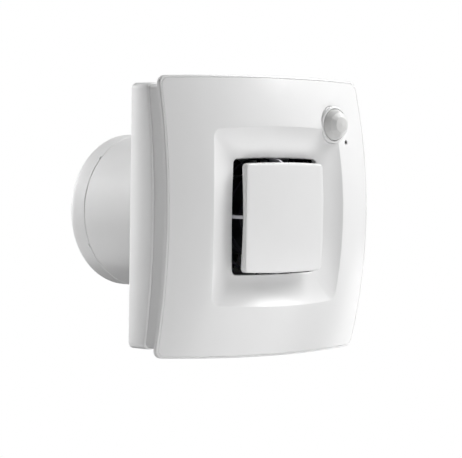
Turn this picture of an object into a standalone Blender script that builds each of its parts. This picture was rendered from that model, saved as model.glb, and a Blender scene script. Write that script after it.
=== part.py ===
"""Wall extractor fan for a nominal 100 mm duct, with a motion sensor in its front cover.

The front faces -Y and +Z is up. The duct runs along +Y, into the wall. The origin is on the fan's
axis, in the plane of the body's back face. All sizes are in metres.
"""
import math

import bmesh
import bpy
from mathutils import Matrix, Vector

# Clearances and walls
GAP = 0.0003
WALL = 0.0025
THIN_WALL = 0.0012

# Wall box
BODY_HALF = 0.0808
BODY_CORNER = 0.004
BODY_CROWN = 0.0278
BODY_CURVE = 1.026
BODY_EDGE_ROUND = 0.0014
TRAY_HALF = BODY_HALF - WALL
WALL_HOLE_X = 0.050
WALL_HOLE_Z = 0.070
WALL_HOLE_RADIUS = 0.0024

# Duct spigot and inlet bell
SPIGOT_RADIUS = 0.04925
BORE_RADIUS = 0.04725
SPIGOT_END = 0.0810
DUCT_END = 0.0944
BELL_FRONT = -0.0240
BELL_RADIUS = 0.0515
BELL_OUTER = 0.0535

# Front cover: a shell crowned both ways
COVER_HALF_X = 0.0845
COVER_HALF_Z = 0.0849
COVER_BULGE = 0.0016
COVER_CORNER = 0.0050
COVER_CROWN = 0.0544
COVER_CURVE_X = 1.925
COVER_CURVE_Z = 1.623
COVER_LIP = 0.0012
NECK_HALF_X = 0.0777
NECK_HALF_Z = 0.0806
NECK_WALL = 0.0023
RECESS_HALF_X = 0.0523
RECESS_HALF_Z = 0.0528
RECESS_BULGE_X = 0.0030
RECESS_BULGE_Z = 0.0023
RECESS_CORNER = 0.0050
RECESS_POWER = 1.8
OPENING_HALF = 0.0352
OPENING_CORNER = 0.0030
OPENING_BULGE = 0.0006
OPENING_FRONT = -0.0435
OPENING_BACK = -0.0409

# Deflector in front of the opening
PANEL_HALF_X = 0.0330
PANEL_HALF_Z = 0.0331
PANEL_DROP = 0.0005
PANEL_BULGE = 0.0008
PANEL_CORNER = 0.0025
PANEL_CROWN = 0.0539
PANEL_CURVE = 0.8
PANEL_SKIRT = 0.0030
PANEL_WALL = 0.0018
SPOKE_THICK = 0.0020
SPOKE_OUTER = 0.0352
SPOKE_INNER = 0.0332
SPOKE_BAR_FRONT = -0.0505
SPOKE_BAR_BACK = -0.0465
CARRIER_FRONT = OPENING_BACK + GAP
CARRIER_BACK = -0.0386
CARRIER_INNER = 0.0362
CARRIER_OUTER = 0.0400

# Motion sensor and indicator in the cover
SENSOR_X = 0.0490
SENSOR_Z = 0.0572
SENSOR_RADIUS = 0.0116
SENSOR_FRONT = -0.0466
SENSOR_BACK = -0.0365
LENS_RADIUS = 0.0098
LENS_TIP = -0.0530
SENSOR_BOARD_FRONT = -0.0384
SENSOR_BOARD_BACK = -0.0371
INDICATOR_X = 0.0627
INDICATOR_Z = 0.0463
INDICATOR_HOLE = 0.0014

# Inner guard, funnel and motor carrier
GUARD_FRONT = -0.0294
GUARD_BACK = -0.0279
GUARD_RINGS = (0.0157, 0.0255, 0.0353, 0.0450)
GUARD_RING_WIDTH = 0.0012
GUARD_RIM = (0.0500, 0.0540)
GUARD_HUB = (0.0030, 0.0070)
SPIDER_FRONT = -0.0275
SPIDER_BACK = -0.0243
BOSS_OFFSET = 0.0445
BOSS_RADIUS = 0.0040
BOSS_BORE = 0.0018
SPIDER_SOCKET = 0.0305

# Motor, on the fan's axis
MOTOR_RADIUS = 0.0250
MOTOR_FRONT = -0.0200
MOTOR_SPLIT = -0.0030
MOTOR_BACK = 0.0140
MOTOR_WALL = 0.0012
BEARING_RADIUS = 0.0050
BEARING_LENGTH = 0.0030
SHAFT_RADIUS = 0.0020
SHAFT_FRONT = -0.0170
SHAFT_BACK = 0.0430
STATOR_FRONT = -0.0105
STATOR_BACK = 0.0050
ROTOR_RADIUS = 0.0130

# Impeller
BLADES = 7
HUB_RADIUS = 0.0240
HUB_FRONT = 0.0170
HUB_BACK = 0.0385
BLADE_TIP = 0.0455
BLADE_THICK = 0.0012

# Back-draught damper
DAMPER_START = SPIGOT_END + GAP
FLAP_PLANE = 0.0878
FLAP_THICK = 0.0012
FLAP_RADIUS = 0.0466
FLAP_HALF_Z = 0.0428
FLAP_EDGE_X = 0.0033
SEAT_RADIUS = 0.0425
PIN_RADIUS = 0.0010
KNUCKLE_RADIUS = 0.0024
SPRING_WIRE = 0.0003

# Control board and its cover, at the right of the tray
BOARD_X = (0.0562, 0.0751)
BOARD_Z = (-0.0520, 0.0480)
BOARD_BACK = -0.0090
BOARD_FRONT = -0.0106
LID_X = (0.0564, 0.0749)
LID_Z = (-0.0300, 0.0505)
LID_FRONT = -0.0330
TIMER_Z = -0.0080
HUMIDITY_Z = -0.0200
KNOB_X = 0.0680
KNOB_RADIUS = 0.0028
KNOB_TIP = -0.0350
TERMINAL_Z = -0.0395
CABLE_X = 0.0665
CABLE_Z = -0.0700
CLAMP_Z = -0.0590
LEAD_Y = -0.0212
LEAD_RADIUS = 0.0011

CORNER_STEPS = 3
SIDE_STEPS = 8
ROUND_STEPS = 28
SMALL_STEPS = 12

WHITE = ("cover_white", (0.90, 0.90, 0.90), 0.28, 0.0)
BODY_WHITE = ("body_white", (0.88, 0.88, 0.88), 0.35, 0.0)
SPOKE_GREY = ("spoke_grey", (0.62, 0.62, 0.64), 0.40, 0.0)
DARK = ("guard_black", (0.012, 0.012, 0.018), 0.45, 0.0)
LENS_WHITE = ("lens_white", (0.82, 0.82, 0.80), 0.35, 0.0)
CLEAR = ("clear_plastic", (0.75, 0.80, 0.85), 0.10, 0.0)
STEEL = ("steel", (0.60, 0.60, 0.62), 0.30, 1.0)
ZINC = ("zinc_steel", (0.70, 0.70, 0.68), 0.35, 1.0)
COPPER = ("copper_wire", (0.60, 0.25, 0.10), 0.35, 1.0)
RUBBER = ("rubber_black", (0.03, 0.03, 0.03), 0.70, 0.0)
BOARD_GREEN = ("board_green", (0.03, 0.20, 0.07), 0.45, 0.0)
PART_BLACK = ("component_black", (0.03, 0.03, 0.035), 0.45, 0.0)
PART_BLUE = ("component_blue", (0.04, 0.12, 0.45), 0.40, 0.0)
MOTOR_GREY = ("motor_grey", (0.25, 0.25, 0.27), 0.45, 0.0)
BRASS = ("brass", (0.70, 0.52, 0.22), 0.35, 1.0)


def clear_scene():
    """Removes whatever objects the scene holds."""
    for item in list(bpy.data.objects):
        bpy.data.objects.remove(item, do_unlink=True)


def material(spec):
    """Gives the material of a (name, colour, roughness, metallic) tuple."""
    name, colour, roughness, metallic = spec
    found = bpy.data.materials.get(name)
    if found:
        return found
    made = bpy.data.materials.new(name)
    made.use_nodes = True
    shader = made.node_tree.nodes["Principled BSDF"]
    shader.inputs["Base Color"].default_value = (*colour, 1.0)
    shader.inputs["Roughness"].default_value = roughness
    shader.inputs["Metallic"].default_value = metallic
    return made


def finish(name, mesh, spec, smooth=40):
    """Turns a bmesh into a named object with its material and shading."""
    bmesh.ops.recalc_face_normals(mesh, faces=mesh.faces)
    data = bpy.data.meshes.new(name)
    mesh.to_mesh(data)
    mesh.free()
    data.materials.append(material(spec))
    data.shade_smooth()
    data.set_sharp_from_angle(angle=math.radians(smooth))
    made = bpy.data.objects.new(name, data)
    bpy.context.collection.objects.link(made)
    return made


def square_ring(half_x, half_z, radius, bulge=0.0, bulge_z=None):
    """Gives (x, z) points around a round-cornered square whose sides bow out by bulge.

    bulge_z is how far the top and bottom bow out, where that differs from the sides.
    """
    if bulge_z is None:
        bulge_z = bulge
    points = []
    for corner in range(4):
        sign_x = (1, -1, -1, 1)[corner]
        sign_z = (1, 1, -1, -1)[corner]
        centre = Vector((sign_x * (half_x - radius), sign_z * (half_z - radius)))
        for step in range(CORNER_STEPS + 1):
            angle = (corner + step / CORNER_STEPS) * math.pi / 2
            points.append(centre + radius * Vector((math.cos(angle), math.sin(angle))))
        along, across = (half_x, half_z) if corner % 2 == 0 else (half_z, half_x)
        reach = math.atan((along - radius) / across)
        start = points[-1]
        turned_x = (-1, -1, 1, 1)[corner]
        turned_z = (1, -1, -1, 1)[corner]
        if corner % 2 == 0:
            end = Vector((turned_x * (half_x - radius), turned_z * half_z))
        else:
            end = Vector((turned_x * half_x, turned_z * (half_z - radius)))
        for step in range(1, SIDE_STEPS):
            slope = math.tan(reach * (1 - 2 * step / SIDE_STEPS)) / math.tan(reach)
            points.append(start.lerp(end, (1 - slope) / 2))
    bowed = []
    for point in points:
        x = point.x * (1 + bulge / half_x * (1 - (point.y / half_z) ** 2))
        z = point.y * (1 + bulge_z / half_z * (1 - (point.x / half_x) ** 2))
        bowed.append((x, z))
    return bowed


def round_ring(radius):
    """Gives a circle whose points lie in the directions of the body's square outline."""
    points = []
    for x, z in square_ring(BODY_HALF, BODY_HALF, BODY_CORNER):
        length = math.hypot(x, z)
        points.append((x * radius / length, z * radius / length))
    return points


def flat(ring, y):
    """Places a ring of (x, z) points in the plane at y."""
    return [Vector((x, y, z)) for x, z in ring]


def body_front(x, z):
    """Height of the wall box's bowed front edge."""
    return -(BODY_CROWN - BODY_CURVE * (x * x + z * z))


def cover_front(x, z):
    """Height of the cover's crowned face."""
    return -(COVER_CROWN - COVER_CURVE_X * x * x - COVER_CURVE_Z * z * z)


def panel_front(x, z):
    """Height of the deflector panel's face."""
    return -(PANEL_CROWN - PANEL_CURVE * (x * x + z * z))


def on_surface(ring, surface, back=0.0):
    """Places a ring on a surface, or a distance behind it."""
    return [Vector((x, surface(x, z) + back, z)) for x, z in ring]


def loft(name, rings, spec, closed=False, smooth=40):
    """Skins rings of points. A closed loft joins its last ring to its first, as round a hole."""
    mesh = bmesh.new()
    rows = [[mesh.verts.new(point) for point in ring] for ring in rings]
    pairs = list(zip(rows, rows[1:]))
    if closed:
        pairs.append((rows[-1], rows[0]))
    for lower, upper in pairs:
        count = max(len(lower), len(upper))
        for step in range(count):
            corners = [lower[step % len(lower)], lower[(step + 1) % len(lower)]]
            corners += [upper[(step + 1) % len(upper)], upper[step % len(upper)]]
            mesh.faces.new(list(dict.fromkeys(corners)))
    if not closed:
        for row in (rows[0], rows[-1]):
            if len(row) > 1:
                mesh.faces.new(row)
    return finish(name, mesh, spec, smooth)


def turned(name, profile, spec, steps=ROUND_STEPS, centre=(0, 0, 0), axis="Y"):
    """Turns a profile of (radius, distance along the axis) points about an axis through centre."""
    rings = []
    for radius, along in profile:
        if radius == 0:
            rings.append([Vector((0, along, 0))])
            continue
        angles = [2 * math.pi * step / steps for step in range(steps)]
        rings.append([Vector((radius * math.cos(a), along, radius * math.sin(a))) for a in angles])
    ends_on_axis = profile[0][0] == 0 and profile[-1][0] == 0
    made = loft(name, rings, spec, closed=not ends_on_axis)
    turns = {"Y": Matrix(), "Z": Matrix.Rotation(math.pi / 2, 4, "X"),
             "X": Matrix.Rotation(-math.pi / 2, 4, "Z")}
    made.data.transform(turns[axis])
    made.location = centre
    return made


def rod(name, radius, start, end, spec, steps=SMALL_STEPS, centre=(0, 0, 0), axis="Y", ease=0.0):
    """Makes a solid round bar with its ends eased."""
    profile = [(0, start), (radius - ease, start), (radius, start + ease)]
    profile += [(radius, end - ease), (radius - ease, end), (0, end)]
    if ease == 0:
        profile = [(0, start), (radius, start), (radius, end), (0, end)]
    return turned(name, profile, spec, steps, centre, axis)


def tube(name, inner, outer, start, end, spec, steps=ROUND_STEPS, centre=(0, 0, 0), axis="Y"):
    """Makes a round bar with a bore."""
    profile = [(outer, start), (outer, end), (inner, end), (inner, start)]
    return turned(name, profile, spec, steps, centre, axis)


def block(name, low, high, spec, bevel=0.0):
    """Makes a box between two corners, with bevelled edges."""
    mesh = bmesh.new()
    bmesh.ops.create_cube(mesh, size=1.0)
    size = Vector(high) - Vector(low)
    middle = (Vector(high) + Vector(low)) / 2
    bmesh.ops.scale(mesh, vec=size, verts=mesh.verts)
    if bevel:
        bmesh.ops.bevel(mesh, geom=mesh.edges[:], offset=bevel, segments=1, affect="EDGES")
    made = finish(name, mesh, spec, 30)
    made.location = middle
    return made


def prism(name, outline, low, high, spec):
    """Extrudes an (x, y) outline from low to high along Z."""
    mesh = bmesh.new()
    lower = [mesh.verts.new((x, y, low)) for x, y in outline]
    upper = [mesh.verts.new((x, y, high)) for x, y in outline]
    mesh.faces.new(lower)
    mesh.faces.new(upper)
    for step in range(len(outline)):
        after = (step + 1) % len(outline)
        mesh.faces.new((lower[step], lower[after], upper[after], upper[step]))
    return finish(name, mesh, spec, 30)


def merged(name, pieces):
    """Joins separate closed pieces into one operand object for a Boolean."""
    mesh = bmesh.new()
    for piece in pieces:
        copy = piece.data.copy()
        copy.transform(piece.matrix_basis)
        mesh.from_mesh(copy)
        bpy.data.meshes.remove(copy)
        bpy.data.objects.remove(piece, do_unlink=True)
    made = finish(name, mesh, DARK)
    made.hide_render = True
    made.display_type = "WIRE"
    return made


def combine(target, operation, pieces):
    """Adds a Boolean to the target, with the pieces as its operand."""
    label = f"{target.name}_{operation.lower()}_{len(target.modifiers)}"
    operand = merged(label, pieces)
    step = target.modifiers.new(label, "BOOLEAN")
    step.operation = operation
    step.solver = "EXACT"
    step.object = operand
    return target


def sweep(name, points, radius, spec, sides=8, steps=4):
    """Makes a round wire along a smooth curve through the points."""
    route = smooth_route(points, steps)
    rings = []
    side = Vector((0, 0, 1))
    for index, point in enumerate(route):
        before = route[max(index - 1, 0)]
        after = route[min(index + 1, len(route) - 1)]
        forward = (after - before).normalized()
        side = (side - forward * side.dot(forward)).normalized()
        other = forward.cross(side)
        ring = []
        for step in range(sides):
            angle = 2 * math.pi * step / sides
            ring.append(point + radius * (math.cos(angle) * side + math.sin(angle) * other))
        rings.append(ring)
    return loft(name, rings, spec)


def smooth_route(points, steps):
    """Gives points along a Catmull-Rom curve through the given points."""
    given = [Vector(point) for point in points]
    padded = [2 * given[0] - given[1]] + given + [2 * given[-1] - given[-2]]
    route = []
    for index in range(1, len(padded) - 2):
        a, b, c, d = padded[index - 1:index + 3]
        for step in range(steps):
            t = step / steps
            route.append(0.5 * (2 * b + (c - a) * t + (2 * a - 5 * b + 4 * c - d) * t ** 2
                                + (3 * b - a - 3 * c + d) * t ** 3))
    return route + [given[-1]]


def screw(name, centre, head_front, head_back, shank_end, head_radius, shank_radius):
    """Makes a pan-head screw along +Y with a round socket in its head."""
    socket = head_radius * 0.4
    profile = [(0, head_front + 0.0008), (socket, head_front), (head_radius * 0.8, head_front)]
    profile += [(head_radius, head_back), (shank_radius, head_back)]
    profile += [(shank_radius, shank_end - shank_radius), (0, shank_end)]
    return turned(name, profile, ZINC, 10, centre)


def motion_axis(name, location):
    """Makes the empty that stands on a joint's axis."""
    made = bpy.data.objects.new(name, None)
    made.empty_display_size = 0.02
    made.location = location
    bpy.context.collection.objects.link(made)
    return made


def carry(axis, pieces):
    """Parents pieces to the empty on their joint's axis, where they stand."""
    shift = Matrix.Translation(-Vector(axis.location))
    for piece in pieces:
        piece.parent = axis
        piece.matrix_parent_inverse = shift


def build_body():
    """Wall box, back plate, inlet bell and duct spigot in one moulding."""
    outer = square_ring(BODY_HALF, BODY_HALF, BODY_CORNER)
    eased = square_ring(BODY_HALF - BODY_EDGE_ROUND, BODY_HALF - BODY_EDGE_ROUND, BODY_CORNER)
    inner = square_ring(TRAY_HALF, TRAY_HALF, BODY_CORNER - WALL / 2)
    rings = [flat(outer, 0), on_surface(outer, body_front, BODY_EDGE_ROUND)]
    rings += [on_surface(eased, body_front), on_surface(inner, body_front), flat(inner, -WALL)]
    bell = [(BORE_RADIUS + WALL, -WALL), (BORE_RADIUS + WALL, -0.0120), (BELL_OUTER, -0.0190)]
    bell += [(BELL_OUTER, BELL_FRONT), (BELL_RADIUS, BELL_FRONT), (0.0487, -0.0200)]
    bell += [(BORE_RADIUS, -0.0140), (BORE_RADIUS, SPIGOT_END), (SPIGOT_RADIUS, SPIGOT_END)]
    bell += [(SPIGOT_RADIUS, 0)]
    rings += [flat(round_ring(radius), y) for radius, y in bell]
    body = loft("rear_body", rings, BODY_WHITE, closed=True)
    root = -WALL / 2
    posts = []
    bores = []
    for x, z in corners(BOSS_OFFSET, BOSS_OFFSET):
        posts.append(rod("post", BOSS_RADIUS, BELL_FRONT, root, BODY_WHITE, 12, (x, 0, z)))
        bores.append(rod("bore", BOSS_BORE, BELL_FRONT - 0.001, -0.0120, BODY_WHITE, 12, (x, 0, z)))
    for x, z in board_posts():
        posts.append(rod("post", 0.0030, BOARD_BACK + GAP, root, BODY_WHITE, 12, (x, 0, z)))
        bores.append(rod("bore", BOSS_BORE, BOARD_BACK - 0.001, -0.0038, BODY_WHITE, 12, (x, 0, z)))
    for x, z in clamp_posts():
        posts.append(rod("post", 0.0028, -0.0085, root, BODY_WHITE, 12, (x, 0, z)))
        bores.append(rod("bore", BOSS_BORE, -0.0095, -0.0038, BODY_WHITE, 12, (x, 0, z)))
    posts.append(rod("post", 0.0035, SENSOR_BOARD_BACK + GAP, root, BODY_WHITE, 12,
                     (SENSOR_X, 0, SENSOR_Z)))
    bores.append(rod("bore", BOSS_BORE, SENSOR_BOARD_BACK - 0.001, -0.0290, BODY_WHITE, 12,
                     (SENSOR_X, 0, SENSOR_Z)))
    for x, z in corners(WALL_HOLE_X, WALL_HOLE_Z):
        bores.append(rod("bore", WALL_HOLE_RADIUS, -0.010, 0.010, BODY_WHITE, 12, (x, 0, z)))
    bores.append(rod("bore", 0.0048, -0.010, 0.010, BODY_WHITE, 16, (CABLE_X, 0, CABLE_Z)))
    bores.append(block("bore", (0.0440, BELL_FRONT - 0.002, -0.002), (0.0560, -0.0192, 0.002),
                       BODY_WHITE))
    combine(body, "UNION", posts)
    combine(body, "DIFFERENCE", bores)
    return body


def corners(half_x, half_z):
    """Gives the four (x, z) corners of a rectangle about the axis."""
    return [(x, z) for x in (-half_x, half_x) for z in (-half_z, half_z)]


def board_posts():
    """Gives the (x, z) places of the control board's screws."""
    middle = (BOARD_X[0] + BOARD_X[1]) / 2
    return [(middle, BOARD_Z[0] + 0.0035), (middle, BOARD_Z[1] - 0.0100)]


def clamp_posts():
    """Gives the (x, z) places of the cable clamp's screws."""
    return [(CABLE_X - 0.0070, CLAMP_Z), (CABLE_X + 0.0070, CLAMP_Z)]


def cover_ring(inset):
    """Gives the cover's outline, drawn in by a distance."""
    half_x = COVER_HALF_X - inset
    half_z = COVER_HALF_Z - inset
    bulge = COVER_BULGE * (half_x / COVER_HALF_X) ** 2
    return square_ring(half_x, half_z, COVER_CORNER, bulge)


def recess_ring(inset):
    """Gives the outline of the recess round the air inlet, drawn in by a distance."""
    return square_ring(RECESS_HALF_X - inset, RECESS_HALF_Z - inset, RECESS_CORNER,
                       RECESS_BULGE_X, RECESS_BULGE_Z)


def bowl_ring(foot, share, back=0.0):
    """Gives the ring part of the way down the recess's hollow slope, or a distance behind it."""
    fall = 1 - (1 - share) ** RECESS_POWER
    ring = []
    for top, low in zip(recess_ring(0), foot):
        x = top[0] + (low[0] - top[0]) * share
        z = top[1] + (low[1] - top[1]) * share
        start = cover_front(*top)
        ring.append(Vector((x, start + (OPENING_FRONT - start) * fall + back, z)))
    return ring


def build_cover():
    """Crowned front shell with its neck, recess, air inlet and snap tabs."""
    opening = square_ring(OPENING_HALF, OPENING_HALF, OPENING_CORNER, OPENING_BULGE)
    lip = square_ring(OPENING_HALF + 0.0010, OPENING_HALF + 0.0010, OPENING_CORNER, OPENING_BULGE)
    behind = square_ring(OPENING_HALF + 0.0052, OPENING_HALF + 0.0052, OPENING_CORNER, 0.0006)
    neck_out = square_ring(NECK_HALF_X, NECK_HALF_Z, COVER_CORNER)
    neck_in = square_ring(NECK_HALF_X - NECK_WALL, NECK_HALF_Z - NECK_WALL, COVER_CORNER - 0.001)
    rings = [on_surface(cover_ring(0), cover_front, COVER_LIP)]
    rings += [on_surface(cover_ring(COVER_LIP), cover_front)]
    rings += [on_surface(cover_ring(0.0110), cover_front), on_surface(cover_ring(0.0210), cover_front)]
    rings += [on_surface(recess_ring(0), cover_front)]
    rings += [bowl_ring(lip, 0.25), bowl_ring(lip, 0.55)]
    rings += [flat(lip, OPENING_FRONT), flat(opening, OPENING_FRONT + 0.0010)]
    rings += [flat(opening, OPENING_BACK), flat(behind, OPENING_BACK)]
    rings += [bowl_ring(lip, 0.55, WALL), bowl_ring(lip, 0.20, WALL)]
    rings += [on_surface(recess_ring(-0.0025), cover_front, WALL)]
    rings += [on_surface(neck_in, cover_front, WALL), on_surface(neck_in, body_front, -GAP)]
    rings += [on_surface(neck_out, body_front, -GAP), on_surface(neck_out, cover_front, WALL)]
    rings += [on_surface(cover_ring(0.0003), cover_front, WALL)]
    cover = loft("front_cover", rings, WHITE, closed=True)
    tabs = []
    outline = [(0.0790, -0.0290), (0.0790, -0.0207), (0.0779, -0.0207), (0.0779, -0.0130)]
    outline += [(0.0762, -0.0130), (0.0762, -0.0290)]
    for x in (-0.045, 0.045):
        for turn in (-1, 1):
            tab = prism("tab", outline, -0.006, 0.006, WHITE)
            tab.data.transform(Matrix.Rotation(turn * math.pi / 2, 4, "Y"))
            tab.location.x = x
            tabs.append(tab)
    combine(cover, "UNION", tabs)
    holes = [rod("hole", SENSOR_RADIUS + GAP, -0.0600, -0.0300, WHITE, 24, (SENSOR_X, 0, SENSOR_Z))]
    holes.append(rod("hole", INDICATOR_HOLE, -0.0600, -0.0300, WHITE, 12,
                     (INDICATOR_X, 0, INDICATOR_Z)))
    combine(cover, "DIFFERENCE", holes)
    return cover


def build_deflector():
    """Raised panel, and the frame with four spokes that carries it in the opening."""
    outer = square_ring(PANEL_HALF_X, PANEL_HALF_Z, PANEL_CORNER, PANEL_BULGE)
    eased = square_ring(PANEL_HALF_X - 0.0008, PANEL_HALF_Z - 0.0008, PANEL_CORNER, PANEL_BULGE)
    halfway = square_ring(PANEL_HALF_X * 0.5, PANEL_HALF_Z * 0.5, PANEL_CORNER, PANEL_BULGE)
    inner = square_ring(PANEL_HALF_X - PANEL_WALL, PANEL_HALF_Z - PANEL_WALL, 0.0015, PANEL_BULGE)
    rings = [[Vector((0, panel_front(0, 0), 0))], on_surface(halfway, panel_front)]
    rings += [on_surface(eased, panel_front), on_surface(outer, panel_front, 0.0006)]
    rings += [on_surface(outer, panel_front, PANEL_SKIRT), on_surface(inner, panel_front, PANEL_SKIRT)]
    rings += [on_surface(inner, panel_front, PANEL_WALL), on_surface(halfway, panel_front, PANEL_WALL)]
    rings += [[Vector((0, panel_front(0, 0) + PANEL_WALL, 0))]]
    panel = loft("deflector_panel", rings, WHITE)
    panel.location.z = -PANEL_DROP
    frame_rings = [flat(square_ring(CARRIER_OUTER, CARRIER_OUTER, 0.003), CARRIER_FRONT)]
    frame_rings += [flat(square_ring(CARRIER_OUTER, CARRIER_OUTER, 0.003), CARRIER_BACK)]
    frame_rings += [flat(square_ring(CARRIER_INNER, CARRIER_INNER, 0.003), CARRIER_BACK)]
    frame_rings += [flat(square_ring(CARRIER_INNER, CARRIER_INNER, 0.003), CARRIER_FRONT)]
    carrier = loft("deflector_carrier", frame_rings, SPOKE_GREY, closed=True)
    foot = CARRIER_INNER + 0.0010
    outline = [(foot, CARRIER_BACK - 0.0002), (foot, CARRIER_FRONT + 0.0002)]
    outline += [(SPOKE_OUTER, CARRIER_FRONT + 0.0002), (SPOKE_OUTER, -0.0442)]
    outline += [(0.0318, -0.0490), (0.0296, SPOKE_BAR_FRONT), (-0.0001, SPOKE_BAR_FRONT)]
    outline += [(-0.0001, SPOKE_BAR_BACK), (SPOKE_INNER - 0.0012, SPOKE_BAR_BACK)]
    outline += [(SPOKE_INNER, SPOKE_BAR_BACK + 0.0012), (SPOKE_INNER, CARRIER_BACK - 0.0002)]
    for turn in range(4):
        spoke = prism("spoke", outline, -SPOKE_THICK / 2, SPOKE_THICK / 2, SPOKE_GREY)
        spoke.data.transform(Matrix.Rotation(turn * math.pi / 2, 4, "Y"))
        combine(carrier, "UNION", [spoke])
    return [panel, carrier]


def build_sensor():
    """Sensor collar, lens, detector and its board, and the indicator's light pipe."""
    centre = (SENSOR_X, 0, SENSOR_Z)
    bore = LENS_RADIUS + GAP
    profile = [(SENSOR_RADIUS, SENSOR_BACK), (SENSOR_RADIUS, SENSOR_FRONT + 0.0010)]
    profile += [(SENSOR_RADIUS - 0.0010, SENSOR_FRONT), (bore, SENSOR_FRONT), (bore, SENSOR_BACK)]
    collar = turned("sensor_collar", profile, WHITE, ROUND_STEPS, centre)
    base = SENSOR_FRONT + 0.0030
    height = SENSOR_FRONT - LENS_TIP
    outside = [(0, LENS_TIP)]
    inside = []
    for step in range(1, 6):
        angle = step * math.pi / 10
        outside.append((LENS_RADIUS * math.sin(angle), SENSOR_FRONT - height * math.cos(angle)))
        radius = (LENS_RADIUS - 0.0010) * math.sin(angle)
        inside.append((radius, SENSOR_FRONT - (height - 0.0010) * math.cos(angle)))
    profile = outside + [(LENS_RADIUS, base), (LENS_RADIUS - 0.0010, base)]
    profile += inside[::-1] + [(0, LENS_TIP + 0.0010)]
    lens = turned("sensor_lens", profile, LENS_WHITE, 20, centre)
    front = SENSOR_BOARD_FRONT
    profile = [(0, front - 0.0042), (0.0041, front - 0.0042), (0.0041, front - 0.0009)]
    profile += [(0.0047, front - 0.0009), (0.0047, front - GAP), (0, front - GAP)]
    detector = turned("pir_detector", profile, STEEL, SMALL_STEPS, centre)
    board = rod("sensor_board", 0.0090, SENSOR_BOARD_FRONT, SENSOR_BOARD_BACK, BOARD_GREEN,
                SMALL_STEPS, centre)
    pipe = rod("light_pipe", INDICATOR_HOLE - GAP, -0.0425, -0.0345, CLEAR, 12,
               (INDICATOR_X, 0, INDICATOR_Z), ease=0.0002)
    return [collar, lens, pipe], [detector, board]


def build_guard():
    """Round guard of concentric rings and four spokes, cut from one flat plate."""
    radii = list(GUARD_HUB)
    for ring in GUARD_RINGS:
        radii += [ring - GUARD_RING_WIDTH / 2, ring + GUARD_RING_WIDTH / 2]
    radii += list(GUARD_RIM)
    spoke = math.radians(3.0)
    cells = 5
    angles = []
    for quarter in range(4):
        start = quarter * math.pi / 2 - spoke / 2
        angles.append(start)
        for step in range(cells):
            angles.append(start + spoke + step * (math.pi / 2 - spoke) / cells)
    count = len(angles)
    mesh = bmesh.new()
    grid = {}
    for level, y in enumerate((GUARD_FRONT, GUARD_BACK)):
        for ring, radius in enumerate(radii):
            for step, angle in enumerate(angles):
                point = (radius * math.cos(angle), y, radius * math.sin(angle))
                grid[level, ring, step] = mesh.verts.new(point)

    def solid(ring, step):
        inside = 0 <= ring < len(radii) - 1
        return inside and (ring % 2 == 0 or step % (cells + 1) == 0)

    def face(*keys):
        mesh.faces.new([grid[level, ring, step % count] for level, ring, step in keys])

    for ring in range(len(radii) - 1):
        for step in range(count):
            if not solid(ring, step):
                continue
            for level in (0, 1):
                face((level, ring, step), (level, ring + 1, step), (level, ring + 1, step + 1),
                     (level, ring, step + 1))
            if not solid(ring - 1, step):
                face((0, ring, step), (0, ring, step + 1), (1, ring, step + 1), (1, ring, step))
            if not solid(ring + 1, step):
                face((0, ring + 1, step), (0, ring + 1, step + 1), (1, ring + 1, step + 1),
                     (1, ring + 1, step))
            if not solid(ring, (step - 1) % count):
                face((0, ring, step), (0, ring + 1, step), (1, ring + 1, step), (1, ring, step))
            if not solid(ring, (step + 1) % count):
                face((0, ring, step + 1), (0, ring + 1, step + 1), (1, ring + 1, step + 1),
                     (1, ring, step + 1))
    loose = [vert for vert in mesh.verts if not vert.link_faces]
    bmesh.ops.delete(mesh, geom=loose, context="VERTS")
    return finish("fan_guard", mesh, DARK)


def build_funnel():
    """Dark funnel from the square air inlet to the round guard."""
    front = CARRIER_BACK + GAP
    square = square_ring(CARRIER_OUTER - 0.0005, CARRIER_OUTER - 0.0005, 0.003)
    inside = square_ring(CARRIER_OUTER - 0.0020, CARRIER_OUTER - 0.0020, 0.003)
    back = GUARD_FRONT - GAP
    rings = [flat(square, front), flat(square, -0.0345), flat(round_ring(GUARD_RIM[1]), -0.0312)]
    rings += [flat(round_ring(GUARD_RIM[1]), back), flat(round_ring(GUARD_RIM[0] + 0.0024), back)]
    rings += [flat(round_ring(GUARD_RIM[0] + 0.0020), -0.0318), flat(inside, -0.0358)]
    rings += [flat(inside, front)]
    return loft("inlet_funnel", rings, DARK, closed=True)


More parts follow.
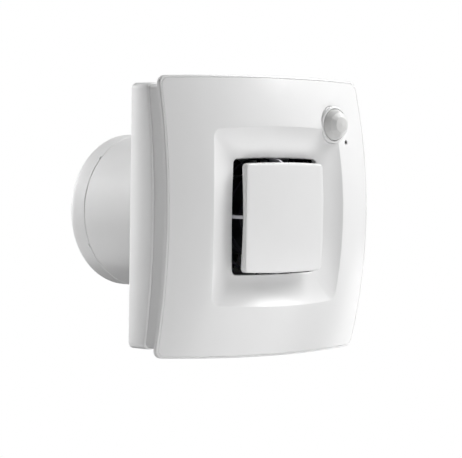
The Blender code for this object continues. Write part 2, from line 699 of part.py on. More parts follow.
def build_spider():
    """Motor carrier: ring, four ears on the body's bosses and four arms with mount sockets."""
    profile = [(GUARD_RIM[1] + 0.0005, SPIDER_FRONT), (GUARD_RIM[1] + 0.0005, SPIDER_BACK)]
    profile += [(GUARD_RIM[0], SPIDER_BACK), (GUARD_RIM[0], SPIDER_FRONT)]
    spider = turned("motor_carrier", profile, DARK, 32)
    ears = []
    holes = []
    for x, z in corners(BOSS_OFFSET, BOSS_OFFSET):
        ears.append(rod("ear", 0.0046, SPIDER_FRONT + 0.0001, SPIDER_BACK - 0.0001, DARK, 12, (x, 0, z)))
        holes.append(rod("hole", BOSS_BORE, -0.0300, -0.0200, DARK, 12, (x, 0, z)))
    combine(spider, "UNION", ears)
    far = math.hypot(BOSS_OFFSET, BOSS_OFFSET) - 0.0026
    outline = [(far, SPIDER_FRONT + 0.0002), (far, SPIDER_BACK - 0.0002)]
    outline += [(0.0385, SPIDER_BACK - 0.0002), (0.0345, -0.0170), (0.0345, -0.0120)]
    outline += [(SPIDER_SOCKET, -0.0120), (SPIDER_SOCKET, SPIDER_FRONT + 0.0002)]
    for turn in range(4):
        arm = prism("arm", outline, -0.0030, 0.0030, DARK)
        arm.data.transform(Matrix.Rotation((turn + 0.5) * math.pi / 2, 4, "Y"))
        combine(spider, "UNION", [arm])
    combine(spider, "DIFFERENCE", holes)
    screws = []
    for index, (x, z) in enumerate(corners(BOSS_OFFSET, BOSS_OFFSET), 1):
        screws.append(screw(f"carrier_screw_{index}", (x, 0, z), -0.0298, SPIDER_FRONT - GAP,
                            -0.0130, 0.0032, BOSS_BORE - GAP))
    return [spider] + screws


def build_mounts():
    """Four rubber mounts between the motor and the carrier's sockets."""
    mounts = []
    inner = MOTOR_RADIUS + GAP
    outer = SPIDER_SOCKET - GAP
    waist = (inner + outer) / 2
    for index in range(4):
        profile = [(0, inner + 0.0004), (0.0042, inner + 0.0006), (0.0042, inner + 0.0014)]
        profile += [(0.0030, waist), (0.0042, outer - 0.0010), (0.0042, outer), (0, outer)]
        mount = turned(f"rubber_mount_{index + 1}", profile, RUBBER, 12, (0, -0.0165, 0), "X")
        angle = (index + 0.5) * math.pi / 2
        mount.data.transform(Matrix.Rotation(angle, 4, "Y"))
        mounts.append(mount)
    return mounts


def build_motor():
    """Motor shells, stator, windings and bearings, all fixed."""
    seat = BEARING_RADIUS + GAP
    inner = MOTOR_RADIUS - MOTOR_WALL
    ease = 0.0015
    floor = MOTOR_FRONT + MOTOR_WALL
    profile = [(0, MOTOR_FRONT), (MOTOR_RADIUS - ease, MOTOR_FRONT), (MOTOR_RADIUS, MOTOR_FRONT + ease)]
    profile += [(MOTOR_RADIUS, MOTOR_SPLIT - GAP), (inner, MOTOR_SPLIT - GAP), (inner, floor)]
    profile += [(seat + 0.0015, floor), (seat + 0.0015, -0.0148), (seat, -0.0148)]
    profile += [(seat, -0.0181), (0, -0.0181)]
    front_shell = turned("motor_front_shell", profile, MOTOR_GREY)
    roof = MOTOR_BACK - MOTOR_WALL
    passage = SHAFT_RADIUS + 2 * GAP
    profile = [(MOTOR_RADIUS, MOTOR_SPLIT), (MOTOR_RADIUS, MOTOR_BACK - ease)]
    profile += [(MOTOR_RADIUS - ease, MOTOR_BACK), (passage, MOTOR_BACK), (passage, 0.0133)]
    profile += [(seat, 0.0133), (seat, 0.0100), (seat + 0.0015, 0.0100), (seat + 0.0015, roof)]
    profile += [(inner, roof), (inner, MOTOR_SPLIT)]
    rear_shell = turned("motor_rear_shell", profile, MOTOR_GREY)
    bore = SHAFT_RADIUS + GAP
    front_bearing = tube("front_bearing", bore, BEARING_RADIUS, -0.0178, -0.0178 + BEARING_LENGTH,
                         STEEL, SMALL_STEPS)
    rear_bearing = tube("rear_bearing", bore, BEARING_RADIUS, 0.0100, 0.0100 + BEARING_LENGTH,
                        STEEL, SMALL_STEPS)
    stator = tube("stator_core", ROTOR_RADIUS + 0.0005, inner - GAP, STATOR_FRONT, STATOR_BACK, STEEL)
    coil_in = ROTOR_RADIUS + 0.0012
    coil_out = inner - 0.0012
    coils = []
    for name, start, end in (("coil_front", -0.0150, STATOR_FRONT - GAP),
                             ("coil_rear", STATOR_BACK + GAP, 0.0095)):
        third = (end - start) / 3
        profile = [(coil_out - 0.001, start), (coil_out, start + third), (coil_out, end - third)]
        profile += [(coil_out - 0.001, end), (coil_in + 0.001, end), (coil_in, end - third)]
        profile += [(coil_in, start + third), (coil_in + 0.001, start)]
        coils.append(turned(name, profile, COPPER, 18))
    return [front_shell, rear_shell, front_bearing, rear_bearing, stator] + coils


def blade(index):
    """One twisted, cambered impeller blade, rooted inside the hub's wall."""
    spans = 3
    chords = 5
    root = HUB_RADIUS - 0.0009
    base = 2 * math.pi * index / BLADES

    def centre_line(span, chord):
        radius = root + (BLADE_TIP - root) * span
        half_height = 0.0084 - 0.0022 * span
        half_angle = 0.30 + 0.06 * span
        camber = 0.0022 * (1 - chord * chord)
        angle = base + 0.12 * span + chord * half_angle
        y = 0.0275 + chord * half_height - camber
        return Vector((radius * math.cos(angle), y, radius * math.sin(angle)))

    mesh = bmesh.new()
    sides = []
    for side in (-1, 1):
        rows = []
        for i in range(spans + 1):
            row = []
            for j in range(chords + 1):
                span = i / spans
                chord = 2 * j / chords - 1
                across = centre_line(span, chord + 0.01) - centre_line(span, chord - 0.01)
                along = centre_line(span + 0.01, chord) - centre_line(span - 0.01, chord)
                normal = across.cross(along).normalized()
                taper = 1 - 0.55 * chord * chord
                offset = normal * side * BLADE_THICK / 2 * taper
                row.append(mesh.verts.new(centre_line(span, chord) + offset))
            rows.append(row)
        sides.append(rows)
    for rows in sides:
        for i in range(spans):
            for j in range(chords):
                mesh.faces.new((rows[i][j], rows[i + 1][j], rows[i + 1][j + 1], rows[i][j + 1]))
    lower, upper = sides
    for i in range(spans):
        for j in (0, chords):
            mesh.faces.new((lower[i][j], lower[i + 1][j], upper[i + 1][j], upper[i][j]))
    for j in range(chords):
        for i in (0, spans):
            mesh.faces.new((lower[i][j], lower[i][j + 1], upper[i][j + 1], upper[i][j]))
    return finish("blade", mesh, DARK)


def build_impeller():
    """Rotor, shaft, impeller and its clip, all turning about the fan's axis."""
    bore = SHAFT_RADIUS + GAP
    shaft = rod("motor_shaft", SHAFT_RADIUS, SHAFT_FRONT, SHAFT_BACK, STEEL, SMALL_STEPS, ease=0.0004)
    rotor = tube("rotor", bore, ROTOR_RADIUS, STATOR_FRONT, STATOR_BACK, STEEL, 24)
    profile = [(HUB_RADIUS, HUB_FRONT), (HUB_RADIUS, HUB_BACK - 0.002), (HUB_RADIUS - 0.002, HUB_BACK)]
    profile += [(bore, HUB_BACK), (bore, 0.0205), (0.0052, 0.0205), (0.0052, HUB_BACK - 0.0018)]
    profile += [(HUB_RADIUS - 0.0026, HUB_BACK - 0.0018), (HUB_RADIUS - 0.0018, HUB_BACK - 0.003)]
    profile += [(HUB_RADIUS - 0.0018, HUB_FRONT)]
    impeller = turned("impeller", profile, DARK)
    combine(impeller, "UNION", [blade(index) for index in range(BLADES)])
    clip = tube("impeller_clip", bore, 0.0042, HUB_BACK + GAP, HUB_BACK + 0.0016, ZINC, SMALL_STEPS)
    return [shaft, rotor, impeller, clip]


def build_damper_ring():
    """Outer end of the spigot: ring with a seat for the flaps, pin bosses and two edge notches."""
    seat = FLAP_PLANE - FLAP_THICK / 2 - GAP
    profile = [(SPIGOT_RADIUS, DAMPER_START), (SPIGOT_RADIUS, DUCT_END), (BORE_RADIUS, DUCT_END)]
    profile += [(BORE_RADIUS, seat), (SEAT_RADIUS, seat), (SEAT_RADIUS, seat - 0.0010)]
    profile += [(BORE_RADIUS, seat - 0.0028), (BORE_RADIUS, DAMPER_START)]
    ring = turned("damper_ring", profile, BODY_WHITE, 36)
    bosses = []
    for side in (-1, 1):
        low, high = sorted((side * 0.0442, side * (BORE_RADIUS + 0.0008)))
        bosses.append(block("boss", (-0.0026, seat - 0.0008, low), (0.0026, 0.0912, high), BODY_WHITE))
    combine(ring, "UNION", bosses)
    cuts = [rod("bore", PIN_RADIUS + GAP, -0.0466, 0.0466, BODY_WHITE, 12, (0, FLAP_PLANE, 0), "Z")]
    for degrees in (136, 207):
        angle = math.radians(degrees)
        x, z = SPIGOT_RADIUS * math.cos(angle), SPIGOT_RADIUS * math.sin(angle)
        cuts.append(block("notch", (x - 0.0022, DAMPER_START - 0.001, z - 0.0022),
                          (x + 0.0022, DAMPER_START + 0.0022, z + 0.0022), BODY_WHITE))
    combine(ring, "DIFFERENCE", cuts)
    pin = rod("damper_pin", PIN_RADIUS, -0.0462, 0.0462, STEEL, 12, (0, FLAP_PLANE, 0), "Z", 0.0003)
    return [ring, pin]


def build_flap(name, side, knuckles):
    """Half-round flap with knuckles on the pin; side is -1 for the left one."""
    front = FLAP_PLANE - FLAP_THICK / 2
    back = FLAP_PLANE + FLAP_THICK / 2
    outline = []
    start = math.asin(FLAP_HALF_Z / FLAP_RADIUS)
    steps = 12
    for step in range(steps + 1):
        angle = start - 2 * start * step / steps
        outline.append((side * FLAP_RADIUS * math.cos(angle), FLAP_RADIUS * math.sin(angle)))
    outline = [(side * FLAP_EDGE_X, FLAP_HALF_Z)] + outline + [(side * FLAP_EDGE_X, -FLAP_HALF_Z)]
    mesh = bmesh.new()
    lower = [mesh.verts.new((x, front, z)) for x, z in outline]
    upper = [mesh.verts.new((x, back, z)) for x, z in outline]
    mesh.faces.new(lower)
    mesh.faces.new(upper)
    for step in range(len(outline)):
        after = (step + 1) % len(outline)
        mesh.faces.new((lower[step], lower[after], upper[after], upper[step]))
    flap = finish(name, mesh, BODY_WHITE, 30)
    for low, high in knuckles:
        web_low, web_high = sorted((side * 0.0018, side * (FLAP_EDGE_X + 0.0012)))
        web = block("web", (web_low, front + 0.0001, low + 0.0002),
                    (web_high, back - 0.0001, high - 0.0002), BODY_WHITE)
        combine(flap, "UNION", [web])
        knuckle = tube("knuckle", PIN_RADIUS + GAP, KNUCKLE_RADIUS, low, high, BODY_WHITE,
                       SMALL_STEPS, (0, FLAP_PLANE, 0), "Z")
        combine(flap, "UNION", [knuckle])
    return flap


def build_spring(name, side, middle):
    """Light return spring: a coil round the pin with one leg along the flap's outer face."""
    turns = 3
    per_turn = 8
    radius = 0.0018
    pitch = 0.0007
    points = []
    for step in range(turns * per_turn + 1):
        angle = 2 * math.pi * step / per_turn
        x = side * radius * math.sin(angle)
        y = FLAP_PLANE + radius * math.cos(angle)
        points.append((x, y, middle - turns * pitch / 2 + pitch * step / per_turn))
    top = points[-1][2]
    points.append((side * 0.0020, FLAP_PLANE + 0.0017, top))
    points.append((side * 0.0060, FLAP_PLANE + FLAP_THICK / 2 + 0.0007, top))
    points.append((side * 0.0140, FLAP_PLANE + FLAP_THICK / 2 + 0.0007, top))
    return sweep(name, points, SPRING_WIRE, STEEL, 4, 1)


def build_board():
    """Control board, its parts, its cover and the cable's fixings."""
    made = []
    board = block("control_board", (BOARD_X[0], BOARD_FRONT, BOARD_Z[0]),
                  (BOARD_X[1], BOARD_BACK, BOARD_Z[1]), BOARD_GREEN)
    holes = [rod("hole", BOSS_BORE, -0.0120, -0.0080, BOARD_GREEN, 12, (x, 0, z))
             for x, z in board_posts()]
    combine(board, "DIFFERENCE", holes)
    made.append(board)
    for index, (x, z) in enumerate(board_posts(), 1):
        made.append(screw(f"board_screw_{index}", (x, 0, z), -0.0128, BOARD_FRONT - GAP, -0.0045,
                          0.0028, BOSS_BORE - GAP))
    face = BOARD_FRONT - GAP
    middle = (BOARD_X[0] + BOARD_X[1]) / 2
    made.append(block("relay", (middle - 0.0075, face - 0.0150, 0.0190),
                      (middle + 0.0075, face, 0.0310), PART_BLUE, 0.0005))
    made.append(block("film_capacitor", (middle - 0.0075, face - 0.0110, 0.0060),
                      (middle + 0.0075, face, 0.0120), BRASS, 0.0008))
    made.append(rod("supply_capacitor", 0.0035, face - 0.0110, face, PART_BLACK, SMALL_STEPS,
                    (0.0690, 0, 0.0005), ease=0.0004))
    made.append(block("humidity_sensor", (0.0585, face - 0.0060, 0.0410), (0.0600, face, 0.0465),
                      PART_BLACK, 0.0002))
    made.append(block("motor_connector", (0.0590, face - 0.0050, -0.0030), (0.0650, face, 0.0030),
                      LENS_WHITE, 0.0003))
    made.append(rod("indicator_led", 0.0015, face - 0.0040, face, CLEAR, 12,
                    (INDICATOR_X, 0, INDICATOR_Z), ease=0.0005))
    for name, z in (("timer", TIMER_Z), ("humidity", HUMIDITY_Z)):
        made.append(block(f"{name}_trimmer", (KNOB_X - 0.0040, face - 0.0050, z - 0.0040),
                          (KNOB_X + 0.0040, face, z + 0.0040), PART_BLUE, 0.0003))
    terminal_low = face - 0.0100
    terminal = block("terminal_block", (middle - 0.0082, terminal_low, TERMINAL_Z - 0.0045),
                     (middle + 0.0082, face, TERMINAL_Z + 0.0045), PART_BLACK, 0.0004)
    wells = []
    for index in range(3):
        x = middle + (index - 1) * 0.0052
        wells.append(rod("well", 0.0020, terminal_low - 0.001, terminal_low + 0.0045, PART_BLACK, 12,
                         (x, 0, TERMINAL_Z)))
        made.append(screw(f"terminal_screw_{index + 1}", (x, 0, TERMINAL_Z), terminal_low + 0.0008,
                          terminal_low + 0.0022, terminal_low + 0.0040, 0.0016, 0.0010))
    combine(terminal, "DIFFERENCE", wells)
    made.append(terminal)
    made += build_lid(face)
    made += build_cable_fixings()
    lead = [(MOTOR_RADIUS + 0.0016, -0.0150, 0), (0.0300, -0.0165, 0), (0.0360, -0.0200, 0)]
    lead += [(0.0420, LEAD_Y, 0), (0.0500, LEAD_Y, 0), (0.0560, LEAD_Y, 0), (0.0600, -0.0205, 0)]
    lead += [(0.0618, -0.0180, 0), (0.0620, face - 0.0050 - GAP, 0)]
    made.append(sweep("motor_lead", lead, LEAD_RADIUS, PART_BLACK, 8, 2))
    return made


def build_lid(face):
    """Cover over the control board, open at the back, with holes for knobs, lead and indicator."""
    wall = THIN_WALL
    lid = block("board_cover", (LID_X[0], LID_FRONT, LID_Z[0]), (LID_X[1], face, LID_Z[1]),
                WHITE, 0.0006)
    inside = block("inside", (LID_X[0] + wall, LID_FRONT + wall, LID_Z[0] + wall),
                   (LID_X[1] - wall, 0.0, LID_Z[1] - wall), WHITE)
    cuts = [inside]
    low, high = LID_FRONT - 0.002, LID_FRONT + 0.003
    for z in (TIMER_Z, HUMIDITY_Z):
        cuts.append(rod("hole", KNOB_RADIUS + GAP, low, high, WHITE, 16, (KNOB_X, 0, z)))
    cuts.append(rod("hole", 0.0026, low, high, WHITE, 12, (INDICATOR_X, 0, INDICATOR_Z)))
    for step in range(3):
        z = 0.0330 + 0.0030 * step
        cuts.append(block("slot", (LID_X[0] + 0.004, low, z), (LID_X[0] + 0.014, high, z + 0.0012),
                          WHITE))
    for cut in cuts:
        combine(lid, "DIFFERENCE", [cut])
    combine(lid, "DIFFERENCE", [block("notch", (LID_X[0] - 0.001, LEAD_Y - 0.0015, -0.0015),
                                      (LID_X[0] + 0.002, 0.0, 0.0015), WHITE)])
    return [lid]


def build_knob(name, z):
    """Trimmer knob that reaches out through the board's cover."""
    base = BOARD_FRONT - GAP - 0.0050 - GAP
    knob = rod(name, KNOB_RADIUS - GAP, KNOB_TIP, base, SPOKE_GREY, SMALL_STEPS,
               (KNOB_X, 0, z), ease=0.0003)
    slot = block("slot", (KNOB_X - 0.0005, KNOB_TIP - 0.001, z - 0.0040),
                 (KNOB_X + 0.0005, KNOB_TIP + 0.0012, z + 0.0002), SPOKE_GREY)
    combine(knob, "DIFFERENCE", [slot])
    return knob


def build_cable_fixings():
    """Grommet in the back plate, and the clamp bar with its two screws."""
    profile = [(0.0062, -0.0043), (0.0062, -WALL - GAP), (0.0045, -WALL - GAP), (0.0045, GAP)]
    profile += [(0.0056, GAP), (0.0056, 0.0012), (0.0033, 0.0012), (0.0033, -0.0043)]
    grommet = turned("cable_grommet", profile, RUBBER, SMALL_STEPS, (CABLE_X, 0, CABLE_Z))
    bar = block("cable_clamp", (CABLE_X - 0.0095, -0.0108, CLAMP_Z - 0.0028),
                (CABLE_X + 0.0095, -0.0085 - GAP, CLAMP_Z + 0.0028), LENS_WHITE, 0.0003)
    combine(bar, "DIFFERENCE", [rod("hole", BOSS_BORE, -0.0120, -0.0070, LENS_WHITE, 12, (x, 0, z))
                                for x, z in clamp_posts()])
    screws = [screw(f"clamp_screw_{index}", (x, 0, z), -0.0130, -0.0108 - GAP, -0.0045, 0.0027,
                    BOSS_BORE - GAP) for index, (x, z) in enumerate(clamp_posts(), 1)]
    return [grommet, bar] + screws


def build_fan():
    """Builds every piece and hangs the moving ones on their axes."""
    clear_scene()
    build_body()
    on_cover, on_body = build_sensor()
    carry(motion_axis("cover_pull", (0, OPENING_FRONT, 0)),
          [build_cover()] + build_deflector() + on_cover)
    build_guard()
    build_funnel()
    build_spider()
    build_mounts()
    build_motor()
    carry(motion_axis("fan_axis", (0, HUB_FRONT, 0)), build_impeller())
    build_damper_ring()
    hinge = (0, FLAP_PLANE, 0)
    left = build_flap("damper_flap_left", -1, [(-0.0195, -0.0003), (0.0205, 0.0388)])
    right = build_flap("damper_flap_right", 1, [(0.0003, 0.0195), (-0.0388, -0.0205)])
    carry(motion_axis("left_flap_axis", hinge), [left, build_spring("damper_spring_left", -1, 0.0406)])
    carry(motion_axis("right_flap_axis", hinge),
          [right, build_spring("damper_spring_right", 1, -0.0406)])
    build_board()
    for name, z in (("timer", TIMER_Z), ("humidity", HUMIDITY_Z)):
        axis = motion_axis(f"{name}_axis", (KNOB_X, KNOB_TIP, z))
        carry(axis, [build_knob(f"{name}_knob", z)])


build_fan()
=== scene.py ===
import math

import bmesh
import bpy
from mathutils import Matrix, Vector


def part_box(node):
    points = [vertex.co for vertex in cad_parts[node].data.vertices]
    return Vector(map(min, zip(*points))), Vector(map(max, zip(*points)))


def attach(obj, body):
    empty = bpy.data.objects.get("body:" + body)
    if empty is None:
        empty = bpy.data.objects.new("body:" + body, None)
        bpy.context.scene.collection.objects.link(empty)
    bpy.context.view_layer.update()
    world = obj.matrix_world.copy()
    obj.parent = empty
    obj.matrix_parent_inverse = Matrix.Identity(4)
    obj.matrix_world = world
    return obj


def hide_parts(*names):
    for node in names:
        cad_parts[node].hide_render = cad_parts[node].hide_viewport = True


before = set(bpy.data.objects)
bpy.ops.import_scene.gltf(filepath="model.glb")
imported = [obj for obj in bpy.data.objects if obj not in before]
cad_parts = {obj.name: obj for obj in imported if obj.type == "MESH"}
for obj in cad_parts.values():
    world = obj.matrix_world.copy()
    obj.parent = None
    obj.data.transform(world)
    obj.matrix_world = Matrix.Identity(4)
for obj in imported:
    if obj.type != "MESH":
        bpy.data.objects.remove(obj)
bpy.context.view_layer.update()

# Sizes in metres, read from the frame where a CAD node gives them
BODY_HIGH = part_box("rear_body")[1]
RING_LOW, RING_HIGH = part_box("damper_ring")
PANEL_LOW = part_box("deflector_panel")[0]
COLLAR_LOW, COLLAR_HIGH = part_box("sensor_collar")
LENS_LOW, LENS_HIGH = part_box("sensor_lens")
FUNNEL_LOW, FUNNEL_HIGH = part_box("inlet_funnel")
GUARD_LOW, GUARD_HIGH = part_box("fan_guard")
CARRIER_LOW, CARRIER_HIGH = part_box("deflector_carrier")
SHELL_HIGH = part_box("motor_rear_shell")[1]
IMPELLER_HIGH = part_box("impeller")[1]
FLAP_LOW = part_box("damper_flap_right")[0]
PIN_LOW, PIN_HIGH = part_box("damper_pin")
PIPE_LOW, PIPE_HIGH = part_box("light_pipe")

GAP = 0.0003
WALL = 0.0025
BODY_HALF = BODY_HIGH.x
BODY_CORNER = 0.0040
BODY_CROWN = 0.0278
BODY_CURVE = 1.026
TRAY_HALF = BODY_HALF - WALL
LEDGE_HALF_X = 0.0768
SPIGOT_RADIUS = RING_HIGH.x
BORE_RADIUS = SPIGOT_RADIUS - 0.0020
SPIGOT_END = BODY_HIGH.y
DUCT_END = RING_HIGH.y
BELL_FRONT = -0.0240
BELL_OUTER = 0.0535

COVER_HALF_X = 0.0845
COVER_HALF_Z = 0.0849
COVER_BULGE = 0.0016
COVER_CORNER = 0.0052
COVER_CROWN = 0.0544
COVER_CURVE_X = 1.925
COVER_CURVE_Z = 1.623
NECK_HALF_X = 0.0777
NECK_FOOT_INSET = 0.0009
NECK_TAPER = 0.0014
NECK_HALF_Z = 0.0806
NECK_WALL = 0.0023
RIM_DEPTH = 0.0027
RECESS_HALF_X = 0.0523
RECESS_HALF_Z = 0.0528
RECESS_BULGE_X = 0.0030
RECESS_BULGE_Z = 0.0023
RECESS_CORNER = 0.0050
RECESS_POWER = 1.8
OPENING_HALF = 0.0352
OPENING_CORNER = 0.0030
OPENING_BULGE = 0.0006
OPENING_FRONT = -0.0435
OPENING_BACK = -0.0409
LIP_RADIUS = 0.0008

PANEL_HALF_X = 0.0330
PANEL_HALF_Z = 0.0331
PANEL_DROP = 0.0005
PANEL_BULGE = 0.0008
PANEL_CORNER = 0.0025
PANEL_CROWN = -PANEL_LOW.y
PANEL_CURVE = 0.8
PANEL_WALL = 0.0018

SENSOR_X = (COLLAR_LOW.x + COLLAR_HIGH.x) / 2
SENSOR_Z = (COLLAR_LOW.z + COLLAR_HIGH.z) / 2
SENSOR_RADIUS = (COLLAR_HIGH.z - COLLAR_LOW.z) / 2
LENS_RADIUS = (LENS_HIGH.z - LENS_LOW.z) / 2
INDICATOR_X = (PIPE_LOW.x + PIPE_HIGH.x) / 2
INDICATOR_Z = (PIPE_LOW.z + PIPE_HIGH.z) / 2

GUARD_RINGS = (0.0157, 0.0255, 0.0353, 0.0450)
FLAP_PLANE = (PIN_LOW.y + PIN_HIGH.y) / 2
KNUCKLES = {-1: [(-0.0195, -0.0003), (0.0205, 0.0388)], 1: [(0.0003, 0.0195), (-0.0388, -0.0205)]}
BLADES = 7
BLADE_TIP = 0.0455
WALL_HOLE_X = 0.050
WALL_HOLE_Z = 0.070

CORNER_STEPS = 8
SIDE_STEPS = 36
ROUND_STEPS = 96
SMOOTH_DEGREES = 32


# ---------------------------------------------------------------- materials

def node_material(name):
    """Starts a material and gives it with its node tree and shader."""
    made = bpy.data.materials.new(name)
    made.use_nodes = True
    tree = made.node_tree
    return made, tree, tree.nodes["Principled BSDF"]


def fill(tree, node, values):
    """Sets a node's inputs, each to a value or from another node's output."""
    for socket, value in values.items():
        if isinstance(value, bpy.types.NodeSocket):
            tree.links.new(value, node.inputs[socket])
        else:
            node.inputs[socket].default_value = value
    return node


def object_place(tree):
    """Gives the place on the object, in the object's own metres."""
    return tree.nodes.new("ShaderNodeTexCoord").outputs["Object"]


def object_noise(tree, scale, detail=4.0, stretch=(1, 1, 1)):
    """Noise in the object's own metres, drawn out along an axis by stretch."""
    mapping = fill(tree, tree.nodes.new("ShaderNodeMapping"),
                   {"Vector": object_place(tree), "Scale": stretch})
    noise = fill(tree, tree.nodes.new("ShaderNodeTexNoise"),
                 {"Vector": mapping.outputs["Vector"], "Scale": scale, "Detail": detail})
    return noise.outputs["Fac"]


def tinted(tree, factor, low, high):
    """Mixes two colours by a factor."""
    mix = tree.nodes.new("ShaderNodeMix")
    mix.data_type = "RGBA"
    fill(tree, mix, {"A": (*low, 1), "B": (*high, 1), "Factor": factor})
    return mix.outputs["Result"]


def ranged(tree, value, low, high, start=0.3, end=0.7):
    """Maps the middle of a noise's range to low and high."""
    node = fill(tree, tree.nodes.new("ShaderNodeMapRange"),
                {"Value": value, "From Min": start, "From Max": end, "To Min": low, "To Max": high})
    return node.outputs["Result"]


def relief_of(tree, height, strength, distance):
    """Gives the normal of a fine relief."""
    bump = fill(tree, tree.nodes.new("ShaderNodeBump"),
                {"Height": height, "Strength": strength, "Distance": distance})
    return bump.outputs["Normal"]


def plastic(name, colour, roughness, grain=2600, relief=0.12, spread=0.02, specular=0.5):
    """Moulded plastic: faint cloudy colour, uneven gloss and a fine mould grain."""
    made, tree, shader = node_material(name)
    low = [c * (1 - spread) for c in colour]
    high = [min(1.0, c * (1 + spread)) for c in colour]
    flow = object_noise(tree, 120, 4, (1, 1, 0.35))
    fill(tree, shader, {
        "Base Color": tinted(tree, object_noise(tree, 38, 3), low, high),
        "Roughness": ranged(tree, flow, roughness * 0.9, roughness * 1.12),
        "Normal": relief_of(tree, object_noise(tree, grain, 2), relief, 0.00003),
        "Specular IOR Level": specular,
    })
    return made


def metal(name, colour, roughness, stretch=(1, 1, 1), relief=0.2):
    """Bare or plated metal with drawn scratches and cloudy gloss."""
    made, tree, shader = node_material(name)
    streak = object_noise(tree, 700, 6, stretch)
    fill(tree, shader, {
        "Base Color": tinted(tree, streak, [c * 0.82 for c in colour], colour),
        "Roughness": ranged(tree, streak, roughness * 0.75, roughness * 1.3),
        "Normal": relief_of(tree, streak, relief, 0.00002),
        "Metallic": 1.0,
    })
    return made


def banded(name, dark, light, roughness, axis="Y"):
    """Stacked sheets or wound wire: fine metal bands along an axis."""
    made, tree, shader = node_material(name)
    wave = tree.nodes.new("ShaderNodeTexWave")
    wave.wave_type = "BANDS"
    wave.bands_direction = axis
    fill(tree, wave, {"Vector": object_place(tree), "Scale": 0.314 / BAND_PITCH, "Distortion": 0.4,
                      "Detail": 1.0})
    bands = wave.outputs["Fac"]
    fill(tree, shader, {
        "Base Color": tinted(tree, bands, dark, light),
        "Normal": relief_of(tree, bands, 0.6, BAND_PITCH * 0.3),
        "Roughness": roughness,
        "Metallic": 1.0,
    })
    return made


def circuit_board(name):
    """Green solder mask over square copper tracks."""
    made, tree, shader = node_material(name)
    cells = tree.nodes.new("ShaderNodeTexVoronoi")
    cells.distance = "CHEBYCHEV"
    cells.feature = "F1"
    fill(tree, cells, {"Vector": object_place(tree), "Scale": 210})
    track = ranged(tree, cells.outputs["Distance"], 0, 1, 0.36, 0.42)
    fill(tree, shader, {
        "Base Color": tinted(tree, track, (0.012, 0.13, 0.04), (0.05, 0.27, 0.10)),
        "Normal": relief_of(tree, track, 0.4, 0.00004),
        "Roughness": 0.32,
    })
    return made


BAND_PITCH = 0.0005
# Slot name: its maker, then the maker's values in the order of its arguments
RECIPES = {
    "cover_white": (plastic, (0.86, 0.86, 0.86), 0.24),
    "body_white": (plastic, (0.85, 0.85, 0.85), 0.34, 2600, 0.2),
    "flap_white": (plastic, (0.82, 0.82, 0.81), 0.42, 2600, 0.25),
    "spoke_grey": (plastic, (0.55, 0.55, 0.59), 0.40),
    "lens_white": (plastic, (0.70, 0.70, 0.69), 0.42, 900, 0.06),
    "clear_plastic": (plastic, (0.008, 0.008, 0.010), 0.30, 2600, 0.02),
    # guard_black is partly the grille's own black plastic and partly painted shade: its near-black,
    # blue-tinted colour is set darker than black plastic so the grille, the inlet funnel and the motor
    # carrier read as the shaded inside of the duct.
    "guard_black": (plastic, (0.006, 0.005, 0.012), 0.50, 2600, 0.3, 0.2, 0.3),
    "impeller_black": (plastic, (0.010, 0.010, 0.015), 0.42, 2600, 0.12, 0.2, 0.35),
    "steel": (metal, (0.62, 0.62, 0.64), 0.22, (1, 0.1, 1)),
    "laminated_steel": (banded, (0.10, 0.10, 0.11), (0.42, 0.42, 0.44), 0.42),
    "zinc_steel": (metal, (0.68, 0.69, 0.66), 0.30),
    # motor_grey is painted shade: the motor shells are darkened from grey to near-black so the inside of the
    # duct behind the grille reads as shaded.
    "motor_grey": (metal, (0.035, 0.035, 0.040), 0.50, (1, 1, 1), 0.1),
    "copper_wire": (banded, (0.22, 0.06, 0.02), (0.74, 0.30, 0.12), 0.30, "X"),
    "board_green": (circuit_board,),
    "component_blue": (plastic, (0.03, 0.10, 0.42), 0.32, 2600, 0.12, 0.08),
    "component_black": (plastic, (0.020, 0.020, 0.024), 0.42, 2600, 0.12, 0.2),
    "component_ochre": (plastic, (0.50, 0.27, 0.06), 0.25, 2600, 0.12, 0.08),
    "cable_black": (plastic, (0.018, 0.018, 0.020), 0.48, 2600, 0.12, 0.2),
    "clamp_white": (plastic, (0.72, 0.72, 0.70), 0.45),
    "board_cover_white": (plastic, (0.78, 0.78, 0.77), 0.40, 2600, 0.3),
    "knob_grey": (plastic, (0.52, 0.52, 0.55), 0.40),
    "rubber_black": (plastic, (0.018, 0.018, 0.018), 0.75, 1500, 0.5, 0.25, 0.25),
}
MATERIALS = {slot: maker(slot, *values) for slot, (maker, *values) in RECIPES.items()}


# ---------------------------------------------------------------- shapes

def finish(name, mesh, slot, smooth=SMOOTH_DEGREES):
    """Turns a bmesh into a smooth-shaded object with its slot's material."""
    bmesh.ops.recalc_face_normals(mesh, faces=mesh.faces)
    data = bpy.data.meshes.new(name)
    mesh.to_mesh(data)
    mesh.free()
    data.materials.append(MATERIALS[slot])
    data.shade_smooth()
    data.set_sharp_from_angle(angle=math.radians(smooth))
    made = bpy.data.objects.new(name, data)
    bpy.context.scene.collection.objects.link(made)
    return made


